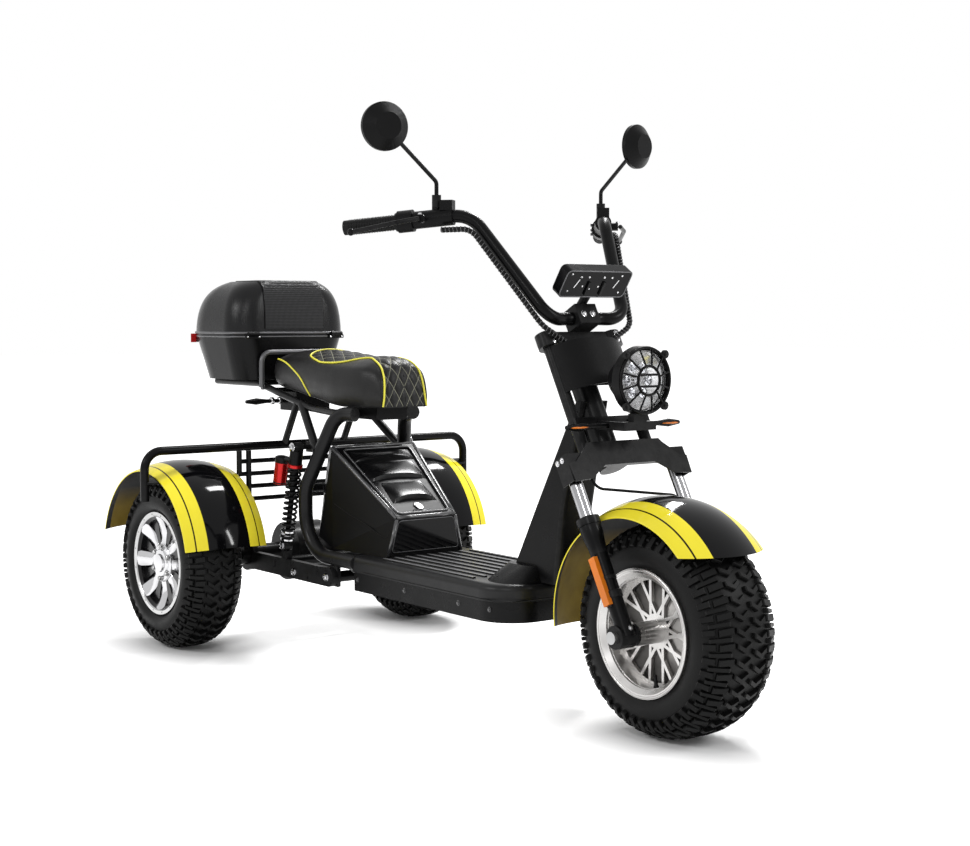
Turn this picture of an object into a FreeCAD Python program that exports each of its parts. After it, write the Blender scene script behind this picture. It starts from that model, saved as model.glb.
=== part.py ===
import FreeCAD, Part
import Sketcher
import os
from math import sin, cos, radians, degrees, atan2, hypot, sqrt, pi

# An electric three-wheeled chopper scooter: one raked front wheel, two rear wheels,
# a low foot deck, a battery box, a padded saddle and a top case.
# X runs forward, Y to the rider's left, Z up. Places below are measured from the
# middle of the rear axle line, and "shift" puts the origin under the middle of the whole.

# Driving dimensions in millimetres and degrees, one row of the sheet each
SIZES = [
    # wheels
    ("wheelbase", 1462), ("tyre_radius", 222), ("tyre_half_width", 96),
    ("tread_inset", 14), ("rear_tyre_half_width", 80), ("rear_tread_inset", 10),
    ("shoulder_drop", 28), ("bulge_drop", 62),
    ("tyre_wall_height", 90), ("rim_inset", 1), ("rear_rim_inset", 11),
    ("rim_lip_height", 13),
    ("rim_flange", 6), ("rim_wall", 6), ("lip_face", 9), ("lip_flare", 3), ("fit_gap", 0.3),
    ("spoke_plane", 50), ("spoke_thick", 8), ("spoke_bar_width", 7),
    ("spoke_pairs", 10), ("spoke_lean", 26), ("spoke_ring_width", 8),
    ("front_hub_radius", 23.5), ("hub_inset", 29), ("axle_radius", 7.5),
    ("bore_slack", 0.05), ("hub_core_radius", 36),
    ("rear_half_track", 365), ("rear_disc_plane", 50), ("rear_disc_thick", 12),
    ("rear_hub_radius", 34), ("rear_hub_reach", 54), ("rear_window_count", 8),
    ("rear_window_inner", 46), ("rear_window_edge", 19), ("rear_window_angle", 30),
    ("rear_cap_radius", 26), ("rear_cap_height", 10),
    ("rear_axle_radius", 12), ("axle_tube_radius", 26), ("axle_tube_half", 196),
    # steering
    ("rake", 28.5), ("axle_trail", 14), ("fork_offset", 32.5), ("leg_beside", 25),
    ("upper_half_gap", 90),
    ("stanchion_radius", 14.5), ("slider_radius", 17.5), ("slider_top", 256),
    ("slider_seal_height", 16), ("axle_lug_radius", 24),
    ("axle_lug_width", 43), ("reflector_low", 70), ("reflector_high", 172),
    ("reflector_wide", 9), ("reflector_thick", 8), ("overcut", 9),
    ("yoke_above", 116), ("yoke_thick", 20), ("yoke_beside", 23),
    ("yoke_depth", 48), ("yoke_skirt", 43), ("yoke_rise", 21),
    ("upper_tube_radius", 13), ("clamp_gap", 4),
    ("clamp_thick", 32), ("clamp_beside", 23), ("clamp_depth", 58),
    ("stem_radius", 14),
    ("head_gap", 6), ("head_length", 244), ("head_radius", 28), ("steer_limit", 35),
    # front fender
    ("fender_back", 24), ("fender_up", 12), ("fender_drop", 36),
    ("fender_over", 36), ("fender_beside", 21), ("sheet", 3),
    ("front_fender_front_end", 391), ("front_fender_rear_end", 188),
    # rear fenders
    ("rear_fender_back", 14), ("rear_fender_drop", 22),
    ("rear_fender_over", 40), ("rear_fender_beside", 33.5),
    ("rear_fender_inset", 14.5), ("rear_fender_front_end", 13),
    ("rear_fender_rear_end", 164),
    # frame and deck
    ("frame_tube_radius", 18), ("frame_half_top", 104), ("frame_half_low", 150),
    ("frame_half_front", 88),
    ("seat_rail_front", 405), ("seat_rail_back", 345), ("seat_rail_rise", 338),
    ("bulge_back", 268), ("bulge_rise", 146), ("deck_rail_drop", 18),
    ("deck_back", 505), ("deck_behind", 360), ("deck_beside", 11), ("deck_above", 52),
    ("deck_seam_drop", 38), ("deck_depth", 84), ("deck_wall", 4), ("deck_corner", 90),
    ("deck_rib", 3), ("deck_rib_width", 9), ("deck_ribs", 9), ("deck_round", 15),
    ("rail_half", 100), ("rail_radius", 16),
    ("neck_half_low", 50), ("neck_half_top", 40), ("neck_back_low_behind", 484),
    ("neck_front_low_behind", 316), ("neck_back_top_behind", 272), ("neck_front_top_behind", 246),
    ("neck_top_above", 454), ("neck_waist_rise", 167), ("neck_waist_back_behind", 398),
    ("neck_waist_front_behind", 302), ("collar_rim", 16), ("collar_height", 34),
    # battery box
    ("box_front_low_x", 581), ("box_front_low_half", 112), ("box_front_lean", 6),
    ("box_front_top_half", 88), ("box_front_height", 96), ("box_ridge_x", 356),
    ("box_ridge_half", 125), ("box_ridge_height", 254), ("box_back_top_x", 290),
    ("box_back_top_half", 92), ("box_back_slope", 4), ("box_back_low_x", 296),
    ("box_back_step", 26), ("box_low_half", 128), ("box_low_x", 360),
    ("box_wall", 4), ("lid_thick", 12), ("lid_rim", 16), ("lid_recess", 2.5),
    ("knuckle_radius", 5), ("knuckle_half", 44), ("knuckle_middle", 18),
    ("battery_length", 176), ("battery_width", 150), ("battery_height", 94),
    ("lock_radius", 9), ("lock_height", 4),
    # seat
    ("seat_back", -8), ("seat_front", 500), ("seat_gap", 19), ("seat_thick", 137),
    ("seat_half", 110), ("seat_pan_depth", 33), ("seat_pan_back", 336),
    ("seat_pan_front", 440), ("seat_pan_half", 45),
    # rear suspension
    ("arm_half", 165), ("arm_width", 16), ("arm_below", 34), ("arm_above", 12),
    ("arm_back", -34), ("arm_front", 410), ("shock_beside", 1), ("shock_top_x", 255),
    ("shock_top_drop", 88), ("shock_low_x", 198), ("shock_foot_above", 46),
    ("shock_eye_radius", 13), ("shock_eye_width", 24), ("pin_radius", 6),
    ("shock_rod_radius", 7), ("shock_body_radius", 11), ("shock_cap_radius", 17),
    ("spring_radius", 16),
    ("spring_wire", 3.2), ("spring_turns", 12), ("spring_cup", 4), ("reservoir_radius", 18),
    ("reservoir_length", 66), ("reservoir_back", 66),
    # rear hoop and slats
    ("hoop_x", 66), ("hoop_beside", 52), ("hoop_over", 33), ("hoop_leg", 125),
    ("hoop_radius", 11), ("hoop_bend", 46), ("slat_half", 200), ("slat_half_high", 228),
    ("slat_radius", 6),
    ("slat_drop", 138), ("slat_count", 4), ("slat_pitch", 33),
    # top case
    ("case_front", -31), ("case_back", 372), ("case_half", 180), ("case_above", 72),
    ("case_base_height", 124), ("case_lid_height", 142), ("case_wall", 4), ("case_corner", 70),
    ("case_floor_inset", 34), ("case_top_inset", 62), ("case_panel_half", 92),
    ("case_panel_rise", 3), ("case_panel_back", 190), ("case_panel_foot", 14),
    ("hinge_half", 130), ("hinge_radius", 6), ("hinge_length", 34), ("case_limit", 75),
    ("reflector_wrap", 76), ("reflector_height", 24), ("reflector_depth", 14),
    ("carrier_radius", 9), ("carrier_half", 92), ("carrier_back", 300),
    ("loop_x", -22), ("loop_half", 108.5), ("loop_above", 76), ("loop_radius", 7),
    ("tail_half", 52), ("tail_back", -22), ("tail_front", 62), ("tail_below", 8),
    ("tail_height", 50), ("tail_tube_radius", 6), ("signal_length", 62), ("signal_radius", 9),
    # handlebar
    ("bar_radius", 14), ("bar_lift", 22), ("bar_ahead", 30), ("bar_foot_half", 104),
    ("bar_foot_behind", 274), ("bar_foot_above", 628), ("bar_corner_back", 166),
    ("bar_corner_half", 190), ("bar_corner_rise", 225), ("bar_end_back", 215),
    ("bar_end_spread", 176), ("bar_end_fall", 25), ("bar_foot_bend", 44),
    ("bar_corner_bend", 70), ("grip_radius", 16), ("grip_length", 118),
    ("grip_flange", 20), ("grip_end", 4), ("pod_radius", 24), ("pod_length", 34), ("perch_length", 89),
    ("pivot_run", 24), ("fluid_box", 28), ("fluid_box_height", 22), ("lever_knee", 10),
    ("grip_lip", 5),
    ("perch_radius", 19), ("lever_radius", 5), ("lever_reach", 150), ("lever_ahead", 46),
    ("mirror_radius", 52), ("mirror_depth", 22), ("stalk_radius", 4.5),
    ("mirror_back", 12), ("mirror_spread", 125), ("mirror_rise", 112), ("stalk_back", 62),
    ("stalk_spread", 45), ("stalk_foot_rise", 17), ("stalk_rise", 54),
    ("mirror_turn", 12), ("stalk_mount_radius", 10), ("stalk_mount_height", 26),
    # display
    ("display_behind", 258), ("display_rise", 82), ("display_half", 92), ("display_height", 68),
    ("display_thick", 24), ("display_lean", 34), ("display_corner", 12),
    # headlight
    ("lamp_behind", 94), ("lamp_above", 503), ("lamp_radius", 71), ("lamp_depth", 74),
    ("lamp_lens_radius", 60), ("lamp_rim", 12), ("guard_wire", 3),
    ("guard_inner_radius", 30), ("guard_ear", 9), ("guard_ahead", 10), ("guard_spokes", 12),
    ("guard_ears", 4),
    ("front_signal_half", 158), ("front_signal_behind", 157), ("front_signal_drop", 95),
    ("shroud_beside", 8), ("shroud_tall", 109), ("shroud_gap", 3), ("shroud_bulge", 42),
    ("strap_width", 14),
    # cables
    ("cable_radius", 5.5), ("cable_start_behind", 477), ("cable_start_half", 240),
    ("cable_start_rise", 192), ("cable_high_behind", 417), ("cable_high_half", 206),
    ("cable_high_rise", 193), ("cable_low_behind", 274), ("cable_low_half", 124),
    ("cable_low_drop", 14), ("cable_bend", 44), ("cable_end_half", 44),
    ("hose_radius", 3), ("hose_half", 108), ("hose_bend", 26), ("hose_drop", 14),
    ("hose_rise", 30),
]

# Sizes that follow others, by sums of the rows above
FOLLOWS = {
    "seat_rail_height": "deck_top + seat_rail_rise",
    "deck_top": "tyre_radius + deck_above",
    "bar_foot_z": "tyre_radius + bar_foot_above",
    "lamp_z": "tyre_radius + lamp_above",
    "neck_top": "tyre_radius + neck_top_above",
    "rim_lip_radius": "tyre_radius - tyre_wall_height",
    "rim_seat_radius": "rim_lip_radius - rim_lip_height",
    "rear_window_outer": "rim_seat_radius - rear_window_edge",
    "shoulder_radius": "tyre_radius - shoulder_drop",
    "bulge_radius": "tyre_radius - bulge_drop",
    "tread_half_width": "tyre_half_width - tread_inset",
    "rear_tread_half_width": "rear_tyre_half_width - rear_tread_inset",
    "rim_half_width": "tyre_half_width - rim_inset",
    "rear_rim_half_width": "rear_tyre_half_width - rear_rim_inset",
    "fender_half_width": "tyre_half_width + fender_beside",
    "leg_half_gap": "fender_half_width + leg_beside",
    "front_hub_half": "leg_half_gap - hub_inset",
    "fender_crown_radius": "tyre_radius + fender_over",
    "fender_edge_radius": "fender_crown_radius - fender_drop",
    "rear_fender_crown_radius": "tyre_radius + rear_fender_over",
    "rear_fender_edge_radius": "rear_fender_crown_radius - rear_fender_drop",
    "rear_fender_half_width": "rear_tyre_half_width + rear_fender_beside",
    "rear_fender_centre": "rear_half_track - rear_fender_inset",
    "rear_hub_inner": "rear_disc_plane + rear_hub_reach",
    "hoop_half": "rear_half_track + rear_tyre_half_width + hoop_beside",
    "hoop_height": "tyre_radius + rear_fender_crown_radius + hoop_over",
    "hoop_foot": "hoop_height - hoop_leg",
    "slat_low": "hoop_height - slat_drop",
    "yoke_half": "leg_half_gap + yoke_beside",
    "yoke_low": "slider_top + yoke_above",
    "yoke_high": "yoke_low + yoke_thick",
    "yoke_foot": "yoke_low - yoke_skirt",
    "yoke_crest": "yoke_high + yoke_rise",
    "head_low": "yoke_high + head_gap",
    "head_high": "head_low + head_length",
    "clamp_low": "head_high + clamp_gap",
    "clamp_high": "clamp_low + clamp_thick",
    "clamp_half": "upper_half_gap + clamp_beside",
    "shroud_half": "upper_half_gap + shroud_beside",
    "shroud_high": "clamp_low - shroud_gap",
    "shroud_low": "shroud_high - shroud_tall",
    "deck_front": "wheelbase - deck_behind",
    "deck_seam": "deck_top - deck_seam_drop",
    "deck_bottom": "deck_top - deck_depth",
    "deck_rail_height": "deck_top - deck_rail_drop",
    "deck_half": "frame_half_low + deck_beside",
    "neck_back_low": "wheelbase - neck_back_low_behind",
    "neck_front_low": "wheelbase - neck_front_low_behind",
    "neck_back_top": "wheelbase - neck_back_top_behind",
    "neck_front_top": "wheelbase - neck_front_top_behind",
    "neck_waist_back": "wheelbase - neck_waist_back_behind",
    "neck_waist_front": "wheelbase - neck_waist_front_behind",
    "neck_waist": "deck_top + neck_waist_rise",
    "seat_low": "seat_rail_height + seat_gap",
    "seat_top": "seat_low + seat_thick",
    "seat_pan_low": "seat_low - seat_pan_depth",
    "box_front_top_z": "deck_top + box_front_height",
    "box_back_low_z": "deck_top + box_back_step",
    "box_ridge_z": "deck_top + box_ridge_height",
    "box_back_top_z": "box_ridge_z - box_back_slope",
    "bulge_height": "deck_top + bulge_rise",
    "box_front_top_x": "box_front_low_x + box_front_lean",
    "arm_low": "tyre_radius - arm_below",
    "arm_high": "tyre_radius + arm_above",
    "shock_low_z": "tyre_radius + shock_foot_above",
    "shock_top_z": "seat_rail_height - shock_top_drop",
    "shock_half": "arm_half + shock_beside",
    "case_floor": "seat_rail_height + case_above",
    "case_seam": "case_floor + case_base_height",
    "case_top": "case_seam + case_lid_height",
    "loop_height": "case_floor + loop_above",
    "tail_low": "seat_rail_height - tail_below",
    "tail_high": "tail_low + tail_height",
    "bar_foot_x": "wheelbase - bar_foot_behind",
    "bar_corner_x": "bar_foot_x - bar_corner_back",
    "bar_corner_z": "bar_foot_z + bar_corner_rise",
    "bar_end_x": "bar_corner_x - bar_end_back",
    "bar_end_z": "bar_corner_z - bar_end_fall",
    "bar_end_half": "bar_corner_half + bar_end_spread",
    "stalk_x": "bar_corner_x - stalk_back",
    "stalk_half": "bar_corner_half + stalk_spread",
    "stalk_foot_z": "bar_corner_z + stalk_foot_rise",
    "stalk_bend_z": "stalk_foot_z + stalk_rise",
    "mirror_x": "stalk_x - mirror_back",
    "mirror_half": "stalk_half + mirror_spread",
    "mirror_z": "stalk_bend_z + mirror_rise",
    "display_x": "wheelbase - display_behind",
    "display_z": "bar_foot_z + display_rise",
    "lamp_x": "wheelbase - lamp_behind",
    "front_signal_x": "wheelbase - front_signal_behind",
    "front_signal_z": "lamp_z - front_signal_drop",
    "cable_start_x": "wheelbase - cable_start_behind",
    "cable_high_x": "wheelbase - cable_high_behind",
    "cable_low_x": "wheelbase - cable_low_behind",
    "cable_start_z": "bar_foot_z + cable_start_rise",
    "cable_high_z": "bar_foot_z + cable_high_rise",
    "cable_low_z": "bar_foot_z - cable_low_drop",
}


class Size:
    """A length or angle with its value and the expression that gives it."""

    def __init__(self, value, text):
        self.value = float(value)
        self.text = text

    def __float__(self):
        return self.value

    def join(self, sign, left, right, value):
        return Size(value, "(%s %s %s)" % (text_of(left), sign, text_of(right)))

    def __add__(self, other):
        return self.join("+", self, other, self.value + float(other))

    def __radd__(self, other):
        return self.join("+", other, self, float(other) + self.value)

    def __sub__(self, other):
        return self.join("-", self, other, self.value - float(other))

    def __rsub__(self, other):
        return self.join("-", other, self, float(other) - self.value)

    def __mul__(self, other):
        return self.join("*", self, other, self.value * float(other))

    def __rmul__(self, other):
        return self.join("*", other, self, float(other) * self.value)

    def __truediv__(self, other):
        return self.join("/", self, other, self.value / float(other))

    def __neg__(self):
        return Size(-self.value, "(0 - %s)" % self.text)


def text_of(size):
    return size.text if isinstance(size, Size) else repr(float(size))


doc = FreeCAD.newDocument("trike")
sheet = doc.addObject("Spreadsheet::Sheet", "sizes")
for row, (alias, value) in enumerate(SIZES, 1):
    sheet.set("A%d" % row, alias.replace("_", " "))
    sheet.set("B%d" % row, str(value))
    sheet.setAlias("B%d" % row, alias)
doc.recompute()


class Sheet:
    """Reads the sheet: sizes.name gives a bound size, plain.name its number."""

    def __init__(self, bound):
        self.bound = bound

    def __getattr__(self, name):
        if name in FOLLOWS:
            first, *rest = FOLLOWS[name].split()
            total = getattr(self, first)
            for sign, term in zip(rest[::2], rest[1::2]):
                step = getattr(self, term)
                total = total + step if sign == "+" else total - step
            return total
        value = float(sheet.get(name))
        return Size(value, "sizes." + name) if self.bound else value


s = Sheet(True)
n = Sheet(False)
PARTS = []
ROOT = FreeCAD.Vector(0, 0, 0)
SIDE = FreeCAD.Vector(0, 1, 0)
UP = FreeCAD.Vector(0, 0, 1)
FORWARD = FreeCAD.Vector(1, 0, 0)
shift = (s.case_back + s.reflector_depth + s.fit_gap - s.wheelbase - s.tyre_radius) / 2


def vec(x, y, z):
    return FreeCAD.Vector(float(x), float(y), float(z))


def bind(thing, **sizes):
    for key, size in sizes.items():
        setattr(thing, key, float(size))
        if isinstance(size, Size):
            thing.setExpression(key, size.text)


def keep(thing, label):
    thing.Label = label
    PARTS.append(thing)
    return thing


def place(thing, x, y, z, axis=UP, angle=0):
    """Puts a piece at a place measured from the rear axle line."""
    x = x + shift
    thing.Placement = FreeCAD.Placement(vec(x, y, z), FreeCAD.Rotation(axis, float(angle)))
    for name, size in (("x", x), ("y", y), ("z", z)):
        if isinstance(size, Size):
            thing.setExpression("Placement.Base." + name, size.text)
    return thing


# Sketched bodies

def body_plane(body, role):
    return next(f for f in body.Origin.OriginFeatures if f.Role == role)


def new_sketch(body, name, role, height=0):
    sketch = body.newObject("Sketcher::SketchObject", name)
    sketch.AttachmentSupport = (body_plane(body, role), [""])
    sketch.MapMode = "FlatFace"
    if isinstance(height, Size):
        sketch.setExpression("AttachmentOffset.Base.z", height.text)
    return sketch


def arc_centre(start, end, radius):
    """Centre of the arc that goes from start to end, turning left."""
    mid_x, mid_y = (start[0] + end[0]) / 2, (start[1] + end[1]) / 2
    run_x, run_y = end[0] - start[0], end[1] - start[1]
    chord = hypot(run_x, run_y)
    rise = sqrt(max(radius * radius - chord * chord / 4, 0))
    return mid_x - run_y / chord * rise, mid_y + run_x / chord * rise


def outline(sketch, points, bulges=None):
    """A closed line through the points; bulges gives an arc radius after a point."""
    bulges = bulges or {}
    spots = [(float(x), float(y)) for x, y in points]
    count = len(spots)
    first = sketch.GeometryCount
    joins = []
    for i in range(count):
        start, end = spots[i], spots[(i + 1) % count]
        if i not in bulges:
            line = Part.LineSegment(vec(start[0], start[1], 0), vec(end[0], end[1], 0))
            sketch.addGeometry(line)
            joins.append((1, 2))
            continue
        radius = float(bulges[i])
        left = radius > 0
        head, tail = (start, end) if left else (end, start)
        cx, cy = arc_centre(head, tail, abs(radius))
        a0 = atan2(head[1] - cy, head[0] - cx)
        a1 = atan2(tail[1] - cy, tail[0] - cx)
        circle = Part.Circle(vec(cx, cy, 0), UP, abs(radius))
        sketch.addGeometry(Part.ArcOfCircle(circle, a0, a1 if a1 > a0 else a1 + 2 * pi))
        joins.append((1, 2) if left else (2, 1))
    for i in range(count):
        after = (i + 1) % count
        sketch.addConstraint(Sketcher.Constraint(
            "Coincident", first + i, joins[i][1], first + after, joins[after][0]))
    for i, (x, y) in enumerate(points):
        for kind, size in (("DistanceX", x), ("DistanceY", y)):
            index = sketch.addConstraint(Sketcher.Constraint(
                kind, -1, 1, first + i, joins[i][0], float(size)))
            if isinstance(size, Size):
                sketch.setExpression("Constraints[%d]" % index, size.text)
        if i in bulges:
            index = sketch.addConstraint(Sketcher.Constraint(
                "Radius", first + i, abs(float(bulges[i]))))
            if isinstance(bulges[i], Size):
                text = bulges[i].text if float(bulges[i]) > 0 else (-bulges[i]).text
                sketch.setExpression("Constraints[%d]" % index, text)


def round_hole(sketch, x, y, radius):
    index = sketch.addGeometry(Part.Circle(vec(x, y, 0), UP, float(radius)))
    for kind, size in (("DistanceX", x), ("DistanceY", y)):
        spot = sketch.addConstraint(Sketcher.Constraint(kind, -1, 1, index, 3, float(size)))
        if isinstance(size, Size):
            sketch.setExpression("Constraints[%d]" % spot, size.text)
    spot = sketch.addConstraint(Sketcher.Constraint("Radius", index, float(radius)))
    if isinstance(radius, Size):
        sketch.setExpression("Constraints[%d]" % spot, radius.text)


def new_body(label):
    return keep(doc.addObject("PartDesign::Body", label), label)


def revolve(body, sketch, name, angle=360):
    turn = body.newObject("PartDesign::Revolution", name)
    turn.Profile = sketch
    turn.ReferenceAxis = (sketch, ["H_Axis"])
    bind(turn, Angle=angle)
    body.Tip = turn
    return turn


def pad(body, sketch, name, length, symmetric=False, back=False):
    block = body.newObject("PartDesign::Pad", name)
    block.Profile = sketch
    bind(block, Length=length)
    block.SideType = "Symmetric" if symmetric else "One side"
    block.Reversed = back
    body.Tip = block
    return block


def pocket(body, sketch, name, length, back=False, symmetric=False):
    cut = body.newObject("PartDesign::Pocket", name)
    cut.Profile = sketch
    bind(cut, Length=length)
    cut.SideType = "Symmetric" if symmetric else "One side"
    cut.Reversed = back
    body.Tip = cut
    return cut


def around(body, features, name, count, role):
    ring = body.newObject("PartDesign::PolarPattern", name)
    ring.Originals = features
    ring.Axis = (body_plane(body, role), [""])
    ring.Angle = 360
    ring.Occurrences = int(float(count))
    if isinstance(count, Size):
        ring.setExpression("Occurrences", count.text)
    body.Tip = ring
    return ring


# Free shapes: bent tubes and shells that neither a sketch nor a primitive gives

def shape_part(label, shape):
    thing = keep(doc.addObject("Part::Feature", label), label)
    thing.Shape = shape
    move = FreeCAD.Placement(vec(shift, 0, 0), FreeCAD.Rotation())
    thing.Placement = move.multiply(shape.Placement)
    return thing


# A run shorter than this share of the bend beside it is left out
STRAIGHT_SHARE = 0.0001


def bent_wire(points, bends):
    """Straight runs joined by tangent arcs; bends has one radius per inner point."""
    edges = []
    start = points[0]
    for i in range(1, len(points) - 1):
        before = (points[i - 1] - points[i]).normalize()
        after = (points[i + 1] - points[i]).normalize()
        turn = pi - before.getAngle(after)
        reach = bends[i - 1] / (1 / max(abs(sin(turn / 2) / cos(turn / 2)), 1e-9))
        head = points[i] + before * reach
        tail = points[i] + after * reach
        inward = (before + after).normalize()
        centre = points[i] + inward * (bends[i - 1] / cos(turn / 2))
        middle = centre - inward * bends[i - 1]
        if (head - start).Length > reach * STRAIGHT_SHARE:
            edges.append(Part.LineSegment(start, head).toShape())
        edges.append(Part.Arc(head, middle, tail).toShape())
        start = tail
    if (points[-1] - start).Length > reach * STRAIGHT_SHARE:
        edges.append(Part.LineSegment(start, points[-1]).toShape())
    return Part.Wire(edges)


def bar(points, bends, radius):
    """A round bar along a bent line."""
    path = bent_wire(points, bends)
    ring = Part.Wire([Part.makeCircle(radius, points[0], points[1] - points[0])])
    return path.makePipeShell([ring], True, False)


def rod(start, end, radius):
    return Part.makeCylinder(radius, (end - start).Length, start, end - start)


def block(x0, x1, y0, y1, z0, z1):
    return Part.makeBox(x1 - x0, y1 - y0, z1 - z0, vec(x0, y0, z0))


def other_side(shape):
    return shape.mirror(ROOT, SIDE)


def pair(shape):
    return Part.makeCompound([shape, other_side(shape)])


def joined(shapes):
    whole = shapes[0]
    for shape in shapes[1:]:
        whole = whole.fuse(shape)
    return whole.removeSplitter()


def rounded_loop(x0, x1, half, z, corner, tail=0):
    """A flat rectangle about the middle plane with round corners, the back pair as tail."""
    corner = min(corner, (x1 - x0) * 0.49, half * 0.98)
    tail = tail or corner
    c = corner * (1 - sqrt(0.5))
    d = tail * (1 - sqrt(0.5))
    corners = [
        (vec(x1 - corner, -half, z), vec(x1 - c, c - half, z), vec(x1, corner - half, z)),
        (vec(x1, half - corner, z), vec(x1 - c, half - c, z), vec(x1 - corner, half, z)),
        (vec(x0 + tail, half, z), vec(x0 + d, half - d, z), vec(x0, half - tail, z)),
        (vec(x0, tail - half, z), vec(x0 + d, d - half, z), vec(x0 + tail, -half, z)),
    ]
    edges = []
    for i, (head, middle, tail) in enumerate(corners):
        edges.append(Part.Arc(head, middle, tail).toShape())
        edges.append(Part.LineSegment(tail, corners[(i + 1) % 4][0]).toShape())
    return Part.Wire(edges)


# Fork line: t runs up the legs from axle height, w runs forward across them
LEG = FreeCAD.Vector(-sin(radians(n.rake)), 0, cos(radians(n.rake)))
ACROSS = FreeCAD.Vector(cos(radians(n.rake)), 0, sin(radians(n.rake)))
FRONT_AXLE = vec(n.wheelbase, 0, n.tyre_radius)
FORK_FOOT = vec(n.wheelbase + n.axle_trail, 0, n.tyre_radius)


def fork(t, y, w=0.0):
    return FORK_FOOT + LEG * t + ACROSS * w + SIDE * y


def fork_block(t0, t1, y0, y1, w0, w1):
    """A box square to the fork legs."""
    shape = Part.makeBox(w1 - w0, y1 - y0, t1 - t0)
    turn = FreeCAD.Rotation(SIDE, -n.rake)
    shape.Placement = FreeCAD.Placement(fork(t0, y0, w0), turn)
    return shape


# Wheels

def tyre(label, x, y, wide, tread, rim_half):
    """A closed ring: bead, bulged wall, shoulder and a crowned tread."""
    body = new_body(label)
    sketch = new_sketch(body, label + "_section", "YZ_Plane")
    bead = rim_half - s.rim_flange - s.fit_gap
    seat = s.rim_seat_radius + s.fit_gap
    lip = s.rim_lip_radius + s.fit_gap
    half = [
        (bead, seat), (bead, lip), (wide, s.bulge_radius), (tread, s.shoulder_radius),
    ]
    drop = n.tyre_radius - n.shoulder_radius
    crown = (tread.value ** 2 + drop ** 2) / (2 * drop)
    rise = s.tyre_radius - s.shoulder_radius
    crown = Size(crown, "((%s * %s + %s * %s) / (2 * %s))" % (
        (tread.text,) * 2 + (rise.text,) * 3))
    points = half + [(-px, pz) for px, pz in reversed(half)]
    outline(sketch, points, {3: crown})
    revolve(body, sketch, label + "_turned")
    return place(body, x, y, s.tyre_radius)


def rim_section(sketch, half):
    """Barrel with a flared lip at each side."""
    inner = s.rim_seat_radius - s.rim_wall
    flange = half - s.rim_flange
    points = [
        (half, s.rim_lip_radius), (flange, s.rim_lip_radius),
        (flange, s.rim_seat_radius), (-flange, s.rim_seat_radius),
        (-flange, s.rim_lip_radius), (-half, s.rim_lip_radius),
        (-half, s.rim_lip_radius - s.lip_face), (-flange + s.lip_flare, inner),
        (flange - s.lip_flare, inner), (half, s.rim_lip_radius - s.lip_face),
    ]
    outline(sketch, points)


def front_rim():
    """Deep barrel, and near one side a lattice of crossed bars round a long hub."""
    body = new_body("front_rim")
    section = new_sketch(body, "front_barrel_section", "YZ_Plane")
    rim_section(section, s.rim_half_width)
    revolve(body, section, "front_barrel")
    inner = s.rim_seat_radius - s.rim_wall
    ring = new_sketch(body, "lattice_ring_section", "YZ_Plane")
    low = -s.spoke_plane
    high = low + s.spoke_thick
    ring_low = inner - s.spoke_ring_width
    outline(ring, [(low, ring_low), (high, ring_low), (high, inner + s.fit_gap),
                   (low, inner + s.fit_gap)])
    revolve(body, ring, "lattice_ring")
    core = new_sketch(body, "hub_section", "YZ_Plane")
    bore = s.axle_radius + s.bore_slack
    outline(core, [
        (-s.front_hub_half, bore), (s.front_hub_half, bore),
        (s.front_hub_half, s.front_hub_radius), (high, s.front_hub_radius),
        (high, s.hub_core_radius), (low, s.hub_core_radius), (low, s.front_hub_radius),
        (-s.front_hub_half, s.front_hub_radius)])
    revolve(body, core, "hub")
    bars = []
    for side in (1, -1):
        name = "lattice_bar_a" if side > 0 else "lattice_bar_b"
        sketch = new_sketch(body, name + "_line", "XZ_Plane", -low - s.spoke_thick)
        lean = radians(n.spoke_lean) * side
        start = vec(0, n.hub_core_radius - n.rim_wall, 0)
        reach = float(inner) + n.rim_wall / 2
        end = vec(reach * sin(lean), reach * cos(lean), 0)
        along = (end - start).normalize()
        across = FreeCAD.Vector(-along.y, along.x, 0) * (n.spoke_bar_width / 2)
        spots = [start - across, end - across, end + across, start + across]
        outline(sketch, [(p.x, p.y) for p in spots])
        bars.append(pad(body, sketch, name, s.spoke_thick))
    around(body, bars, "lattice", s.spoke_pairs, "Y_Axis")
    return place(body, s.wheelbase, 0, s.tyre_radius)


def rear_rim(label, side):
    """Wide barrel with a windowed disc near the outer side and a raised cap."""
    body = new_body(label)
    section = new_sketch(body, label + "_barrel_section", "YZ_Plane")
    rim_section(section, s.rear_rim_half_width)
    revolve(body, section, label + "_barrel")
    inner = s.rim_seat_radius - s.rim_wall + s.fit_gap
    out = -s.rear_disc_plane
    back = out + s.rear_disc_thick
    cap = out - s.rear_cap_height
    disc = new_sketch(body, label + "_disc_section", "YZ_Plane")
    bore = s.rear_axle_radius + s.bore_slack
    outline(disc, [
        (out, inner), (out, s.rear_cap_radius + s.rear_cap_height),
        (cap, s.rear_cap_radius), (cap, bore),
        (s.rear_hub_inner, bore), (s.rear_hub_inner, s.rear_hub_radius),
        (back, s.rear_hub_radius), (back, inner)])
    revolve(body, disc, label + "_disc")
    window = new_sketch(body, label + "_window_line", "XZ_Plane", -back)
    half = radians(n.rear_window_angle / 2)
    low, top = n.rear_window_inner, n.rear_window_outer
    spots = [(-low * sin(half), low * cos(half)), (low * sin(half), low * cos(half)),
             (top * sin(half), top * cos(half)), (-top * sin(half), top * cos(half))]
    outline(window, spots, {2: top})
    cut = pocket(body, window, label + "_window", s.rear_disc_thick * 3, symmetric=True)
    around(body, [cut], label + "_windows", s.rear_window_count, "Y_Axis")
    half_track = s.rear_half_track
    place(body, 0, -half_track if side < 0 else half_track, s.tyre_radius,
          UP, 0 if side < 0 else 180)
    return body


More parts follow.
